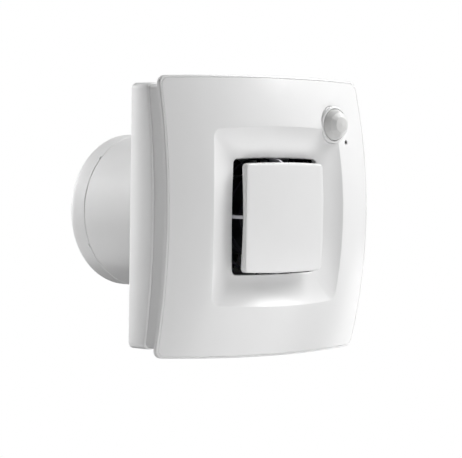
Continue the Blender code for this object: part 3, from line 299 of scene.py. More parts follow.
def square_ring(half_x, half_z, radius, bulge=0.0, bulge_z=None):
    """Gives (x, z) points around a round-cornered square whose sides bow out by bulge.

    bulge_z is how far the top and bottom bow out, where that differs from the sides.
    """
    if bulge_z is None:
        bulge_z = bulge
    points = []
    for corner in range(4):
        sign_x = (1, -1, -1, 1)[corner]
        sign_z = (1, 1, -1, -1)[corner]
        centre = Vector((sign_x * (half_x - radius), sign_z * (half_z - radius)))
        for step in range(CORNER_STEPS + 1):
            angle = (corner + step / CORNER_STEPS) * math.pi / 2
            points.append(centre + radius * Vector((math.cos(angle), math.sin(angle))))
        along, across = (half_x, half_z) if corner % 2 == 0 else (half_z, half_x)
        reach = math.atan((along - radius) / across)
        start = points[-1]
        turned_x = (-1, -1, 1, 1)[corner]
        turned_z = (1, -1, -1, 1)[corner]
        if corner % 2 == 0:
            end = Vector((turned_x * (half_x - radius), turned_z * half_z))
        else:
            end = Vector((turned_x * half_x, turned_z * (half_z - radius)))
        for step in range(1, SIDE_STEPS):
            slope = math.tan(reach * (1 - 2 * step / SIDE_STEPS)) / math.tan(reach)
            points.append(start.lerp(end, (1 - slope) / 2))
    bowed = []
    for point in points:
        x = point.x * (1 + bulge / half_x * (1 - (point.y / half_z) ** 2))
        z = point.y * (1 + bulge_z / half_z * (1 - (point.x / half_x) ** 2))
        bowed.append((x, z))
    return bowed


def round_ring(radius):
    """Gives a circle whose points lie in the directions of the body's square outline."""
    points = []
    for x, z in square_ring(BODY_HALF, BODY_HALF, BODY_CORNER):
        length = math.hypot(x, z)
        points.append((x * radius / length, z * radius / length))
    return points


def flat(ring, y):
    """Places a ring of (x, z) points in the plane at y."""
    return [Vector((x, y, z)) for x, z in ring]


def on_surface(ring, surface, back=0.0):
    """Places a ring on a surface, or a distance behind it."""
    return [Vector((x, surface(x, z) + back, z)) for x, z in ring]


def circle(radius, y, steps):
    """Gives a ring of points round the duct axis."""
    angles = [2 * math.pi * step / steps for step in range(steps)]
    return [Vector((radius * math.cos(angle), y, radius * math.sin(angle))) for angle in angles]


def between(first, second, share):
    """Gives the ring part of the way from one (x, z) ring to another."""
    return [(a[0] + (b[0] - a[0]) * share, a[1] + (b[1] - a[1]) * share)
            for a, b in zip(first, second)]


def body_front(x, z):
    """Height of the wall box's bowed front edge."""
    return -(BODY_CROWN - BODY_CURVE * (x * x + z * z))


def cover_front(x, z):
    """Height of the cover's crowned face."""
    return -(COVER_CROWN - COVER_CURVE_X * x * x - COVER_CURVE_Z * z * z)


def panel_front(x, z):
    """Height of the deflector panel's face."""
    return -(PANEL_CROWN - PANEL_CURVE * (x * x + z * z))


def on_body(ring, back=0.0):
    """Places a ring on the wall box's front edge, or a distance behind it."""
    return on_surface(ring, body_front, back)


def on_cover(ring, back=0.0):
    """Places a ring on the cover's face, or a distance behind it."""
    return on_surface(ring, cover_front, back)


def on_panel(ring, back=0.0):
    """Places a ring on the panel's face, or a distance behind it."""
    return on_surface(ring, panel_front, back)


def loft(name, rings, slot, closed=False, smooth=SMOOTH_DEGREES):
    """Skins rings of points. A closed loft joins its last ring to its first, as round a hole."""
    mesh = bmesh.new()
    rows = [[mesh.verts.new(point) for point in ring] for ring in rings]
    pairs = list(zip(rows, rows[1:]))
    if closed:
        pairs.append((rows[-1], rows[0]))
    for lower, upper in pairs:
        count = max(len(lower), len(upper))
        for step in range(count):
            quad = [lower[step % len(lower)], lower[(step + 1) % len(lower)]]
            quad += [upper[(step + 1) % len(upper)], upper[step % len(upper)]]
            mesh.faces.new(list(dict.fromkeys(quad)))
    if not closed:
        for row in (rows[0], rows[-1]):
            if len(row) > 1:
                mesh.faces.new(row)
    return finish(name, mesh, slot, smooth)


AXIS_TURNS = {"Y": Matrix(), "Z": Matrix.Rotation(math.pi / 2, 4, "X"),
              "X": Matrix.Rotation(-math.pi / 2, 4, "Z")}


def turned(name, profile, slot, steps=ROUND_STEPS, centre=(0, 0, 0), axis="Y"):
    """Turns a profile of (radius, distance along the axis) points about an axis through centre."""
    rings = []
    for radius, along in profile:
        if radius == 0:
            rings.append([Vector((0, along, 0))])
            continue
        rings.append(circle(radius, along, steps))
    ends_on_axis = profile[0][0] == 0 and profile[-1][0] == 0
    made = loft(name, rings, slot, closed=not ends_on_axis)
    made.data.transform(Matrix.Translation(Vector(centre)) @ AXIS_TURNS[axis])
    return made


def arc(centre, radius, start, end, steps=5):
    """Gives (radius, along) points on an arc, for rounded profile corners; angles in degrees."""
    points = []
    for step in range(steps + 1):
        angle = math.radians(start + (end - start) * step / steps)
        points.append((centre[0] + radius * math.cos(angle), centre[1] + radius * math.sin(angle)))
    return points


def eased_band(inner, outer, front, back, ease):
    """Gives the profile of a ring of rectangular section with eased edges."""
    points = [(inner + ease, front), (outer - ease, front), (outer, front + ease), (outer, back - ease)]
    return points + [(outer - ease, back), (inner + ease, back), (inner, back - ease), (inner, front + ease)]


def spun(piece, share):
    """Turns a piece about the duct axis by a share of a full turn."""
    piece.data.transform(Matrix.Rotation(2 * math.pi * share, 4, "Y"))
    return piece


def rod(name, radius, start, end, slot, steps=32, centre=(0, 0, 0), axis="Y", ease=0.0002):
    """Makes a solid round bar with rounded ends."""
    profile = [(0, start)] + arc((radius - ease, start + ease), ease, -90, 0, 3)
    profile += arc((radius - ease, end - ease), ease, 0, 90, 3) + [(0, end)]
    return turned(name, profile, slot, steps, centre, axis)


def block(name, low, high, slot, ease=0.0003, segments=3):
    """Makes a box with rounded edges between two corners."""
    mesh = bmesh.new()
    bmesh.ops.create_cube(mesh, size=1.0)
    size = Vector(high) - Vector(low)
    middle = (Vector(high) + Vector(low)) / 2
    bmesh.ops.transform(mesh, matrix=Matrix.Translation(middle) @ Matrix.Diagonal((*size, 1)),
                        verts=mesh.verts)
    bmesh.ops.bevel(mesh, geom=mesh.edges[:], offset=min(ease, min(size) * 0.45), segments=segments,
                    profile=0.5, affect="EDGES")
    return finish(name, mesh, slot)


def combine(target, pieces, operation):
    """Joins closed pieces to the target, or cuts them out, and keeps the result as its mesh."""
    for piece in pieces:
        step = target.modifiers.new(operation, "BOOLEAN")
        step.operation = operation
        step.solver = "EXACT"
        step.object = piece
    bpy.context.view_layer.update()
    graph = bpy.context.evaluated_depsgraph_get()
    result = bpy.data.meshes.new_from_object(target.evaluated_get(graph))
    target.modifiers.clear()
    target.data = result
    for piece in pieces:
        bpy.data.objects.remove(piece, do_unlink=True)
    result.set_sharp_from_angle(angle=math.radians(SMOOTH_DEGREES))


def stand_for(piece, body, *nodes):
    """Makes a piece ride on a body in place of CAD nodes."""
    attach(piece, body)
    if nodes:
        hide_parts(*nodes)


def corners(half_x, half_z):
    """Gives the four (x, z) corners of a rectangle about the axis."""
    return [(x, z) for x in (-half_x, half_x) for z in (-half_z, half_z)]


def middle(node):
    """Gives the middle of a CAD node's box."""
    low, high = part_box(node)
    return (low + high) / 2


def round_place(node):
    """Gives the place of a CAD node's axis in the wall's plane, and half the node's width."""
    low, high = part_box(node)
    return (low.x + high.x) / 2, (low.z + high.z) / 2, (high.x - low.x) / 2


def sweep(name, points, radius, slot, sides=16, steps=6):
    """Runs a round bar along a smooth curve through the points, with flat ends."""
    curve = []
    count = len(points)
    knots = [Vector(p) for p in points]
    for index in range(count - 1):
        before = knots[max(index - 1, 0)]
        after = knots[min(index + 2, count - 1)]
        start, end = knots[index], knots[index + 1]
        for step in range(steps):
            t = step / steps
            lead = (end - before) * 0.5
            trail = (after - start) * 0.5
            curve.append(start * (2 * t ** 3 - 3 * t ** 2 + 1) + lead * (t ** 3 - 2 * t ** 2 + t)
                         + end * (3 * t ** 2 - 2 * t ** 3) + trail * (t ** 3 - t ** 2))
    curve.append(knots[-1])
    rings = []
    side = None
    for index, place in enumerate(curve):
        ahead = curve[min(index + 1, len(curve) - 1)] - curve[max(index - 1, 0)]
        ahead.normalize()
        if side is None:
            side = ahead.orthogonal().normalized()
        side = (side - ahead * side.dot(ahead)).normalized()
        across = ahead.cross(side)
        angles = [2 * math.pi * step / sides for step in range(sides)]
        rings.append([place + radius * (side * math.cos(a) + across * math.sin(a)) for a in angles])
    return loft(name, rings, slot)


def prism(name, outline, low, high, slot, ease=0.0003):
    """Extrudes an outline of (x, y) points between two heights, with rounded edges."""
    mesh = bmesh.new()
    floor = [mesh.verts.new((x, y, low)) for x, y in outline]
    roof = [mesh.verts.new((x, y, high)) for x, y in outline]
    mesh.faces.new(floor)
    mesh.faces.new(roof)
    for step in range(len(outline)):
        after = (step + 1) % len(outline)
        mesh.faces.new((floor[step], floor[after], roof[after], roof[step]))
    rims = [edge for edge in mesh.edges if edge.verts[0].co.z == edge.verts[1].co.z]
    bmesh.ops.bevel(mesh, geom=rims, offset=ease, segments=2, profile=0.5, affect="EDGES")
    return finish(name, mesh, slot)


def quarter(steps):
    """Gives (1 - cos, 1 - sin) at steps over a quarter turn, for rounded edges and fillets."""
    angles = [math.pi / 2 * step / steps for step in range(steps + 1)]
    return [(1 - math.cos(angle), 1 - math.sin(angle)) for angle in angles]


def eased(ring_at, surface_at, radius, steps):
    """Gives rings over the rounded edge from a wall to a face.

    ring_at gives the outline at an inset. surface_at places a ring at a depth.
    """
    return [surface_at(ring_at(radius * curl), radius * rise) for curl, rise in quarter(steps)]


# ---------------------------------------------------------------- wall box and duct

def body_ring(inset):
    """Gives the wall box's outline, drawn in by a distance."""
    half = BODY_HALF - inset
    return square_ring(half, half, max(BODY_CORNER - inset / 2, 0.0012))


def make_body():
    """Wall box with its back plate, inlet bell, bosses and the fixed part of the spigot."""
    edge = 0.0008
    fillet = 0.0012
    rings = [flat(body_ring(edge * rise), -edge * curl) for curl, rise in quarter(3)]
    rings += eased(body_ring, on_body, 0.0014, 6)
    inner = body_ring(WALL)
    ledge = square_ring(LEDGE_HALF_X, TRAY_HALF, BODY_CORNER)
    rings += [on_body(body_ring(WALL - 0.0003)), on_body(ledge, 0.0002)]
    rings += [on_body(ledge, 0.0014), on_body(inner, 0.0018)]
    rings += [flat(inner, -0.0100)]
    rings += [flat(body_ring(WALL + fillet * curl), -WALL - fillet * rise) for curl, rise in quarter(4)]
    outer = BORE_RADIUS + WALL
    rings += [flat(round_ring(outer + 0.0012), -WALL)]
    bell = [(outer, -WALL - 0.0012), (outer, -0.0120), (0.0508, -0.0142), (0.0524, -0.0168)]
    bell += [(BELL_OUTER, -0.0190), (BELL_OUTER, BELL_FRONT + 0.0005)]
    bell += [(BELL_OUTER - 0.0005, BELL_FRONT), (0.0521, BELL_FRONT)]
    bell += [(BORE_RADIUS + 0.0049 * rise, -0.0240 + 0.0100 * curl) for curl, rise in quarter(8)[1:]]
    bell += [(BORE_RADIUS, 0.0200), (BORE_RADIUS, 0.0500), (BORE_RADIUS, SPIGOT_END - 0.0003)]
    bell += [(BORE_RADIUS + 0.0003, SPIGOT_END), (SPIGOT_RADIUS - 0.0003, SPIGOT_END)]
    bell += [(SPIGOT_RADIUS, SPIGOT_END - 0.0003), (SPIGOT_RADIUS, 0.0500), (SPIGOT_RADIUS, 0.0200)]
    bell += [(SPIGOT_RADIUS + fillet * curl, fillet * rise) for curl, rise in quarter(4)]
    bell += [(0.0560, 0), (0.0565, -0.0007)]
    rings += [flat(round_ring(radius), y) for radius, y in bell]
    rings += [flat(body_ring(0.0045), -0.0007), flat(body_ring(0.0040), 0)]
    body = loft("body_shell", rings, "body_white", closed=True)
    root = -WALL / 2
    posts = []
    bores = []

    def post(place, radius, front, bore, depth):
        x, _, z = place
        posts.append(turned("post", [(0, front), (radius - 0.0002, front), (radius, front + 0.0002),
                                     (radius, -WALL - 0.0010), (radius + 0.0003, -WALL - 0.0003),
                                     (radius + 0.0010, -WALL + 0.0004), (radius + 0.0010, root),
                                     (0, root)], "body_white", 40, (x, 0, z)))
        bores.append(rod("bore", bore, front - 0.001, depth, "body_white", 32, (x, 0, z), ease=0.0001))

    for index in range(1, 5):
        post(middle(f"carrier_screw_{index}"), 0.0040, BELL_FRONT, 0.0018, -0.0120)
    for index in (1, 2):
        post(middle(f"board_screw_{index}"), 0.0030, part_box("control_board")[1].y + GAP, 0.0018, -0.0038)
        post(middle(f"clamp_screw_{index}"), 0.0028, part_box("cable_clamp")[1].y + GAP, 0.0018, -0.0038)
    post(middle("sensor_board"), 0.0035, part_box("sensor_board")[1].y + GAP, 0.0018, -0.0290)
    collars = []
    for x, z in corners(WALL_HOLE_X, WALL_HOLE_Z):
        collars.append(rod("collar", 0.0052, root, 0, "body_white", 40, (x, 0, z)))
        bores.append(rod("bore", 0.0024, -0.010, 0.010, "body_white", 32, (x, 0, z)))
        bores.append(turned("bore", [(0, -WALL - 0.0012), (0.0048, -WALL - 0.0012),
                                     (0.0024, -WALL + 0.0012), (0, -WALL + 0.0012)],
                            "body_white", 32, (x, 0, z)))
    for turn in range(8):
        reach = 0.0775 if turn % 2 == 0 else 0.1040
        rib = block("rib", (0.0550, root, -0.0008), (reach, 0, 0.0008), "body_white", 0.0002, 1)
        collars.append(spun(rib, turn / 8))
    grommet = middle("cable_grommet")
    collars.append(rod("collar", 0.0075, root, 0, "body_white", 40, (grommet.x, 0, grommet.z)))
    bores.append(rod("bore", 0.0048, -0.010, 0.010, "body_white", 40, (grommet.x, 0, grommet.z)))
    bores.append(block("bore", (0.0440, BELL_FRONT - 0.002, -0.002), (0.0560, -0.0192, 0.002),
                       "body_white", 0.0004))
    combine(body, posts + collars, "UNION")
    combine(body, bores, "DIFFERENCE")
    stand_for(body, "base", "rear_body")


def make_duct_end():
    """Separate outer end of the spigot, with its flap seat, pin bosses and two edge notches."""
    seat = FLAP_LOW.y - GAP
    start = RING_LOW.y
    ease = 0.0003
    profile = [(SPIGOT_RADIUS - ease, start), (SPIGOT_RADIUS, start + ease)]
    profile += [(SPIGOT_RADIUS, 0.0850), (SPIGOT_RADIUS, 0.0910), (SPIGOT_RADIUS, DUCT_END - ease)]
    profile += arc((SPIGOT_RADIUS - ease, DUCT_END - ease), ease, 30, 90, 3)
    profile += [(BORE_RADIUS + ease, DUCT_END), (BORE_RADIUS, DUCT_END - ease), (BORE_RADIUS, seat)]
    profile += [(0.0427, seat), (0.0425, seat - 0.0002), (0.0425, seat - 0.0010)]
    profile += [(0.0429, seat - 0.0014), (BORE_RADIUS - 0.0004, seat - 0.0027)]
    profile += [(BORE_RADIUS, seat - 0.0032), (BORE_RADIUS, start + ease), (BORE_RADIUS + ease, start)]
    ring = turned("duct_end", profile, "body_white", 160)
    bosses = []
    for side in (-1, 1):
        low, high = sorted((side * 0.0442, side * (BORE_RADIUS + 0.0008)))
        bosses.append(block("boss", (-0.0026, seat - 0.0008, low), (0.0026, 0.0912, high),
                            "body_white", 0.0004))
    combine(ring, bosses, "UNION")
    cuts = [rod("bore", 0.0013, -0.0466, 0.0466, "body_white", 24, (0, FLAP_PLANE, 0), "Z")]
    for degrees in (136, 207):
        angle = math.radians(degrees)
        x, z = SPIGOT_RADIUS * math.cos(angle), SPIGOT_RADIUS * math.sin(angle)
        cuts.append(block("notch", (x - 0.0010, start - 0.001, z - 0.0010),
                          (x + 0.0010, start + 0.0014, z + 0.0010), "body_white", 0.0002))
    combine(ring, cuts, "DIFFERENCE")
    stand_for(ring, "base", "damper_ring")
    pin = rod("hinge_pin", (PIN_HIGH.x - PIN_LOW.x) / 2, PIN_LOW.z, PIN_HIGH.z, "steel", 32,
              (0, FLAP_PLANE, 0), "Z", 0.0003)
    stand_for(pin, "base", "damper_pin")


FLAP_BODIES = {-1: "flap_left", 1: "flap_right"}


def make_flap(node, side):
    """Half-round damper flap with two ribs and its knuckles on the pin."""
    front, back = FLAP_PLANE - 0.0006, FLAP_PLANE + 0.0006
    radius = 0.0466
    reach = math.asin(0.0428 / radius)
    outline = [(0.0033, 0.0428)]
    outline += [(radius * math.cos(reach - 2 * reach * step / 48),
                 radius * math.sin(reach - 2 * reach * step / 48)) for step in range(49)]
    outline += [(0.0033, -0.0428)]
    shape = [(side * x, -z) for x, z in outline]
    flap = prism(f"{node}_moulding", shape, front, back, "flap_white", 0.0002)
    flap.data.transform(AXIS_TURNS["Z"].inverted())
    extra = []
    for z in (-0.0214, 0.0214):
        span = math.sqrt(0.0425 ** 2 - z * z)
        near, far = sorted((side * 0.0060, side * span))
        extra.append(block("rib", (near, back - 0.0002, z - 0.0005), (far, back + 0.0009, z + 0.0005),
                           "flap_white", 0.0002, 2))
    for knuckle_low, knuckle_high in KNUCKLES[side]:
        near, far = sorted((side * 0.0018, side * 0.0045))
        extra.append(block("web", (near, front + 0.0001, knuckle_low + 0.0002),
                           (far, back - 0.0001, knuckle_high - 0.0002), "flap_white", 0.0001, 1))
        profile = [(0.0022, knuckle_low), (0.0024, knuckle_low + 0.0002)]
        profile += [(0.0024, knuckle_high - 0.0002), (0.0022, knuckle_high), (0.0013, knuckle_high)]
        profile += [(0.0013, knuckle_low)]
        extra.append(turned("knuckle", profile, "flap_white", 32, (0, FLAP_PLANE, 0), "Z"))
    combine(flap, extra, "UNION")
    stand_for(flap, FLAP_BODIES[side], node)


def make_spring(node, side):
    """Light coil round the pin with one leg along the flap."""
    low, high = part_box(node)
    wire = 0.00027
    turns = 3
    pitch = 0.0007
    centre = (low.z + high.z) / 2
    points = []
    for step in range(turns * 16 + 1):
        angle = 2 * math.pi * step / 16
        points.append((side * 0.0018 * math.sin(angle), FLAP_PLANE + 0.0018 * math.cos(angle),
                       centre - turns * pitch / 2 + pitch * step / 16))
    top = points[-1][2]
    points += [(side * 0.0034, FLAP_PLANE + 0.00088, top), (side * 0.0138, FLAP_PLANE + 0.00088, top)]
    spring = sweep(f"{node}_coil", points, wire, "steel", 8, 2)
    stand_for(spring, FLAP_BODIES[side], node)


# ---------------------------------------------------------------- front cover

def cover_ring(inset):
    """Gives the cover's outline, drawn in by a distance."""
    half_x = COVER_HALF_X - inset
    half_z = COVER_HALF_Z - inset
    bulge = COVER_BULGE * (half_x / COVER_HALF_X) ** 2
    return square_ring(half_x, half_z, max(COVER_CORNER - inset / 2, 0.0020), bulge)


def recess_ring(inset):
    """Gives the outline of the recess round the air inlet, drawn in by a distance."""
    return square_ring(RECESS_HALF_X - inset, RECESS_HALF_Z - inset, RECESS_CORNER,
                       RECESS_BULGE_X, RECESS_BULGE_Z)


def opening_ring(inset):
    """Gives the air inlet's outline, drawn in by a distance."""
    half = OPENING_HALF - inset
    return square_ring(half, half, OPENING_CORNER, OPENING_BULGE)


def bowl_rings(steps):
    """Gives the rings of the concave slope from the recess's edge down to the air inlet."""
    top = recess_ring(0)
    foot = opening_ring(-LIP_RADIUS)
    rings = []
    for step in range(1, steps + 1):
        share = step / steps
        fall = 1 - (1 - share) ** RECESS_POWER
        ring = []
        for (x, z), edge in zip(between(top, foot, share), top):
            start = cover_front(*edge) + 0.0003
            ring.append(Vector((x, start + (OPENING_FRONT - start) * fall, z)))
        rings.append(ring)
    return rings


def make_cover():
    """Crowned front shell with its rim, neck, recess and air inlet."""
    rings = eased(cover_ring, on_cover, 0.0006, 5)
    groove = 0.00045
    for inset, back in ((0.0009, 0), (0.00105, groove), (0.0014, groove), (0.0016, 0)):
        rings.append(on_cover(cover_ring(inset), back))
    start = cover_ring(0.0024)
    for step in range(13):
        share = step / 12
        rings.append(on_cover(between(start, recess_ring(-0.0010), share)))
    rings.append(on_cover(recess_ring(-0.0004), 0.00006))
    rings.append(on_cover(recess_ring(0), 0.00030))
    rings += bowl_rings(26)
    for curl, rise in quarter(6)[1:]:
        rings.append(flat(opening_ring(-LIP_RADIUS * rise), OPENING_FRONT + LIP_RADIUS * curl))
    rings += [flat(opening_ring(0), OPENING_BACK - 0.0002), flat(opening_ring(-0.0002), OPENING_BACK)]
    rings += [flat(opening_ring(-0.0052), OPENING_BACK)]
    inside = recess_ring(-0.0010)
    for share in (0.75, 0.5, 0.3, 0.15, 0.05):
        fall = 1 - (1 - share) ** RECESS_POWER
        ring = []
        for x, z in between(inside, opening_ring(-0.0060), share):
            begin = cover_front(x, z) + WALL
            ring.append(Vector((x, begin + (OPENING_BACK - begin) * fall, z)))
        rings.append(ring)
    rings.append(on_cover(recess_ring(-0.0025), WALL))
    neck_in = square_ring(NECK_HALF_X - NECK_WALL, NECK_HALF_Z - NECK_WALL, COVER_CORNER - 0.001)
    neck_out = square_ring(NECK_HALF_X - NECK_TAPER, NECK_HALF_Z, COVER_CORNER)
    neck_top = square_ring(NECK_HALF_X - NECK_TAPER - NECK_WALL, NECK_HALF_Z - NECK_WALL,
                           COVER_CORNER - 0.001)
    rings += [on_cover(between(recess_ring(-0.0025), neck_top, 0.5), WALL)]
    foot = body_ring(NECK_FOOT_INSET)
    rings += [on_cover(neck_top, WALL), on_body(neck_in, -GAP)]
    rings += [on_body(foot, -GAP), on_body(foot, -GAP - 0.0002)]
    rings += [on_cover(neck_out, RIM_DEPTH + 0.0010)]
    lip = square_ring(NECK_HALF_X - NECK_TAPER + 0.0008, NECK_HALF_Z + 0.0006, COVER_CORNER)
    rings += [on_cover(lip, RIM_DEPTH)]
    rings += [on_cover(cover_ring(0.0004), RIM_DEPTH)]
    rings += [on_cover(cover_ring(0), RIM_DEPTH - 0.0004)]
    cover = loft("cover_shell", rings, "cover_white", closed=True, smooth=24)
    outline = [(0.0790, -0.0290), (0.0790, -0.0207), (0.0779, -0.0207), (0.0779, -0.0136)]
    outline += [(0.0774, -0.0130), (0.0766, -0.0130), (0.0762, -0.0136), (0.0762, -0.0290)]
    tabs = []
    for x in (-0.045, 0.045):
        for turn in (-1, 1):
            tab = spun(prism("tab", outline, -0.006, 0.006, "cover_white", 0.0002), turn / 4)
            tab.data.transform(Matrix.Translation((x, 0, 0)))
            tabs.append(tab)
    combine(cover, tabs, "UNION")
    hole = SENSOR_RADIUS + GAP
    holes = [rod("hole", hole, -0.0600, -0.0300, "cover_white", 96, (SENSOR_X, 0, SENSOR_Z))]
    front = cover_front(INDICATOR_X, INDICATOR_Z)
    profile = [(0, front - 0.0010), (0.0022, front - 0.0010), (0.0014, front + 0.0003)]
    profile += [(0.0014, -0.0300), (0, -0.0300)]
    holes.append(turned("hole", profile, "cover_white", 40, (INDICATOR_X, 0, INDICATOR_Z)))
    combine(cover, holes, "DIFFERENCE")
    cover.data.set_sharp_from_angle(angle=math.radians(24))
    stand_for(cover, "cover", "front_cover")


def make_panel():
    """Raised centre panel: a shallow cap with a fine groove between its face and its side."""
    def ring_at(inset):
        corner = max(PANEL_CORNER - inset * 0.6, 0.0014)
        return square_ring(PANEL_HALF_X - inset, PANEL_HALF_Z - inset, corner, PANEL_BULGE)

    def skirt(ring, deeper=0.0):
        points = []
        for x, z in ring:
            cornered = (abs(x) / PANEL_HALF_X * abs(z) / PANEL_HALF_Z) ** 1.5
            points.append(Vector((x, panel_front(x, z) + 0.0024 + 0.0016 * cornered + deeper, z)))
        return points

    rings = [[Vector((0, panel_front(0, 0), 0))]]
    for share in (0.08, 0.2, 0.35, 0.5, 0.65, 0.8, 0.92):
        ring = [(x * share, z * share) for x, z in ring_at(0.0010)]
        rings.append(on_panel(ring))
    for inset, back in ((0.0010, 0), (0.0008, 0.00005), (0.00065, 0.0002), (0.0007, 0.0005),
                        (0.0003, 0.00052), (0.0001, 0.0006), (0, 0.0008), (0, 0.0016)):
        rings.append(on_panel(ring_at(inset), back))
    rings += [skirt(ring_at(0), -0.0003), skirt(ring_at(0.0001), -0.0001), skirt(ring_at(0.0003))]
    inner = square_ring(PANEL_HALF_X - PANEL_WALL, PANEL_HALF_Z - PANEL_WALL, 0.0015, PANEL_BULGE)
    rings += [skirt(inner), on_panel(inner, PANEL_WALL)]
    rings += [on_panel([(x * 0.5, z * 0.5) for x, z in inner], PANEL_WALL)]
    rings += [[Vector((0, panel_front(0, 0) + PANEL_WALL, 0))]]
    panel = loft("centre_panel", rings, "cover_white", smooth=30)
    panel.data.transform(Matrix.Translation((0, 0, -PANEL_DROP)))
    stand_for(panel, "cover", "deflector_panel")


def make_carrier():
    """Frame behind the inlet with four thin bent spokes that hold the panel."""
    front, back = OPENING_BACK + GAP, CARRIER_HIGH.y
    outer, inner = 0.0400, 0.0362
    ease = 0.0003
    rings = []
    for half, y in eased_band(inner, outer, front, back, ease):
        rings.append(flat(square_ring(half, half, 0.003), y))
    carrier = loft("panel_carrier", rings, "spoke_grey", closed=True)
    foot = inner + 0.0010
    bar_front, bar_back = CARRIER_LOW.y, CARRIER_LOW.y + 0.0040
    outline = [(foot, back - 0.0002), (foot, front + 0.0002), (0.0352, front + 0.0002)]
    bend = 0.0052
    outline += [(0.0352 - bend * curl, bar_front + bend * rise) for curl, rise in quarter(8)]
    outline += [(-0.0001, bar_front), (-0.0001, bar_back)]
    outline += [(0.0332 - 0.0016 * rise, bar_back + 0.0016 * curl) for curl, rise in quarter(4)]
    outline += [(0.0332, back - 0.0002)]
    spokes = [spun(prism("spoke", outline, -0.0010, 0.0010, "spoke_grey", 0.0003), turn / 4)
              for turn in range(4)]
    combine(carrier, spokes, "UNION")
    stand_for(carrier, "cover", "deflector_carrier")


# ---------------------------------------------------------------- motion sensor

def make_sensor():
    """Collar round the sensor and its faceted lens."""
    centre = (SENSOR_X, 0, SENSOR_Z)
    front, back = COLLAR_LOW.y, COLLAR_HIGH.y
    bore = LENS_RADIUS + GAP
    profile = [(SENSOR_RADIUS, back)]
    profile += arc((SENSOR_RADIUS - 0.0010, front + 0.0010), 0.0010, 0, -90, 6)
    profile += [(bore + 0.0002, front), (bore, front + 0.0002), (bore, back)]
    collar = turned("sensor_ring", profile, "cover_white", 128, centre)
    stand_for(collar, "cover", "sensor_collar")
    facets = 6
    steps = 96
    height = front - LENS_LOW.y
    knots = ((0.0, 1.0, 0.0), (0.50, 0.90, 0.35), (0.84, 0.56, 0.45), (1.0, 0.0, 0.0))
    rows = []
    for (low_r, low_h, low_k), (high_r, high_h, high_k) in zip(knots, knots[1:]):
        for step in range(10):
            t = step / 10
            rows.append((low_r + (high_r - low_r) * t, low_h + (high_h - low_h) * t,
                         low_k + (high_k - low_k) * t))
    rows.append(knots[-1])
    rings = [[Vector((0, front - height, 0))]]
    for share, lift, faceted in rows[1:]:
        ring = []
        for step in range(steps):
            angle = 2 * math.pi * step / steps
            local = (angle + math.pi / facets) % (2 * math.pi / facets) - math.pi / facets
            chord = math.cos(math.pi / facets) / math.cos(local)
            radius = LENS_RADIUS * share * (1 - faceted * (1 - chord))
            ring.append(Vector((radius * math.cos(angle), front - height * lift, radius * math.sin(angle))))
        rings.append(ring)
    base = front + 0.0030
    for radius, y in ((LENS_RADIUS, base), (LENS_RADIUS - 0.0010, base), (LENS_RADIUS - 0.0012, front)):
        rings.append(circle(radius, y, steps))
    rings.append([Vector((0, front - height + 0.0012, 0))])
    lens = loft("sensor_dome", rings, "lens_white", smooth=16)
    lens.data.transform(Matrix.Translation(centre))
    stand_for(lens, "cover", "sensor_lens")
    radius = (PIPE_HIGH.x - PIPE_LOW.x) / 2
    guide = rod("light_guide", radius, PIPE_LOW.y, PIPE_HIGH.y, "clear_plastic", 32,
                (INDICATOR_X, 0, INDICATOR_Z), ease=0.0004)
    stand_for(guide, "cover", "light_pipe")
    low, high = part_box("pir_detector")
    profile = [(0, low.y), (0.0038, low.y), (0.0041, low.y + 0.0003), (0.0041, high.y - 0.0008)]
    profile += [(0.0043, high.y - 0.0006), (0.0047, high.y - 0.0006), (0.0047, high.y), (0, high.y)]
    can = turned("detector_can", profile, "steel", 64, centre)
    window = block("window", (SENSOR_X - 0.0017, low.y - 0.0010, SENSOR_Z - 0.0012),
                   (SENSOR_X + 0.0017, low.y + 0.0002, SENSOR_Z + 0.0012), "steel", 0.0)
    combine(can, [window], "DIFFERENCE")
    stand_for(can, "base", "pir_detector")
    low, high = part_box("sensor_board")
    disc = rod("sensor_disc", (high.z - low.z) / 2, low.y, high.y, "board_green", 64, centre,
               ease=0.0001)
    stand_for(disc, "base", "sensor_board")


# ---------------------------------------------------------------- inlet and motor

def make_guard():
    """Round grille of concentric rings and four spokes."""
    front, back = GUARD_LOW.y, GUARD_HIGH.y
    pieces = []
    bands = [(0.0030, 0.0070)] + [(r - 0.0006, r + 0.0006) for r in GUARD_RINGS] + [(0.0500, 0.0540)]
    for inner, outer in bands:
        profile = eased_band(inner, outer, front, back, 0.0003)
        pieces.append(turned("band", profile, "guard_black", 144))
    guard = pieces.pop()
    for turn in range(4):
        spoke = block("spoke", (0.0060, front + 0.0001, -0.0011), (0.0510, back - 0.0001, 0.0011),
                      "guard_black", 0.0003, 2)
        pieces.append(spun(spoke, turn / 4))
    guard.name = "grille"
    combine(guard, pieces, "UNION")
    stand_for(guard, "base", "fan_guard")


def make_inlet():
    """Funnel from the square air inlet to the round grille; its near-black colour is painted shade that
    darkens the space behind the inlet.
    """
    front, back = FUNNEL_LOW.y, FUNNEL_HIGH.y
    outer_square = square_ring(0.0395, 0.0395, 0.003)
    inner_square = square_ring(0.0380, 0.0380, 0.003)
    outer_round = round_ring(0.0540)
    inner_round = round_ring(0.0520)
    rings = [flat(outer_square, front + 0.0002)]
    for step in range(9):
        share = step / 8
        blend = share * share * (3 - 2 * share)
        rings.append(flat(between(outer_square, outer_round, blend), -0.0345 + 0.0033 * share))
    rings += [flat(outer_round, back), flat(inner_round, back)]
    for step in range(13):
        share = 1 - step / 12
        blend = share * share * (3 - 2 * share)
        rings.append(flat(between(inner_square, inner_round, blend), -0.0358 + 0.0042 * share))
    rings += [flat(inner_square, front + 0.0002)]
    rings += [flat(square_ring(0.0382, 0.0382, 0.003), front)]
    rings += [flat(square_ring(0.0393, 0.0393, 0.003), front)]
    funnel = loft("inlet_duct", rings, "guard_black", closed=True)
    stand_for(funnel, "base", "inlet_funnel")


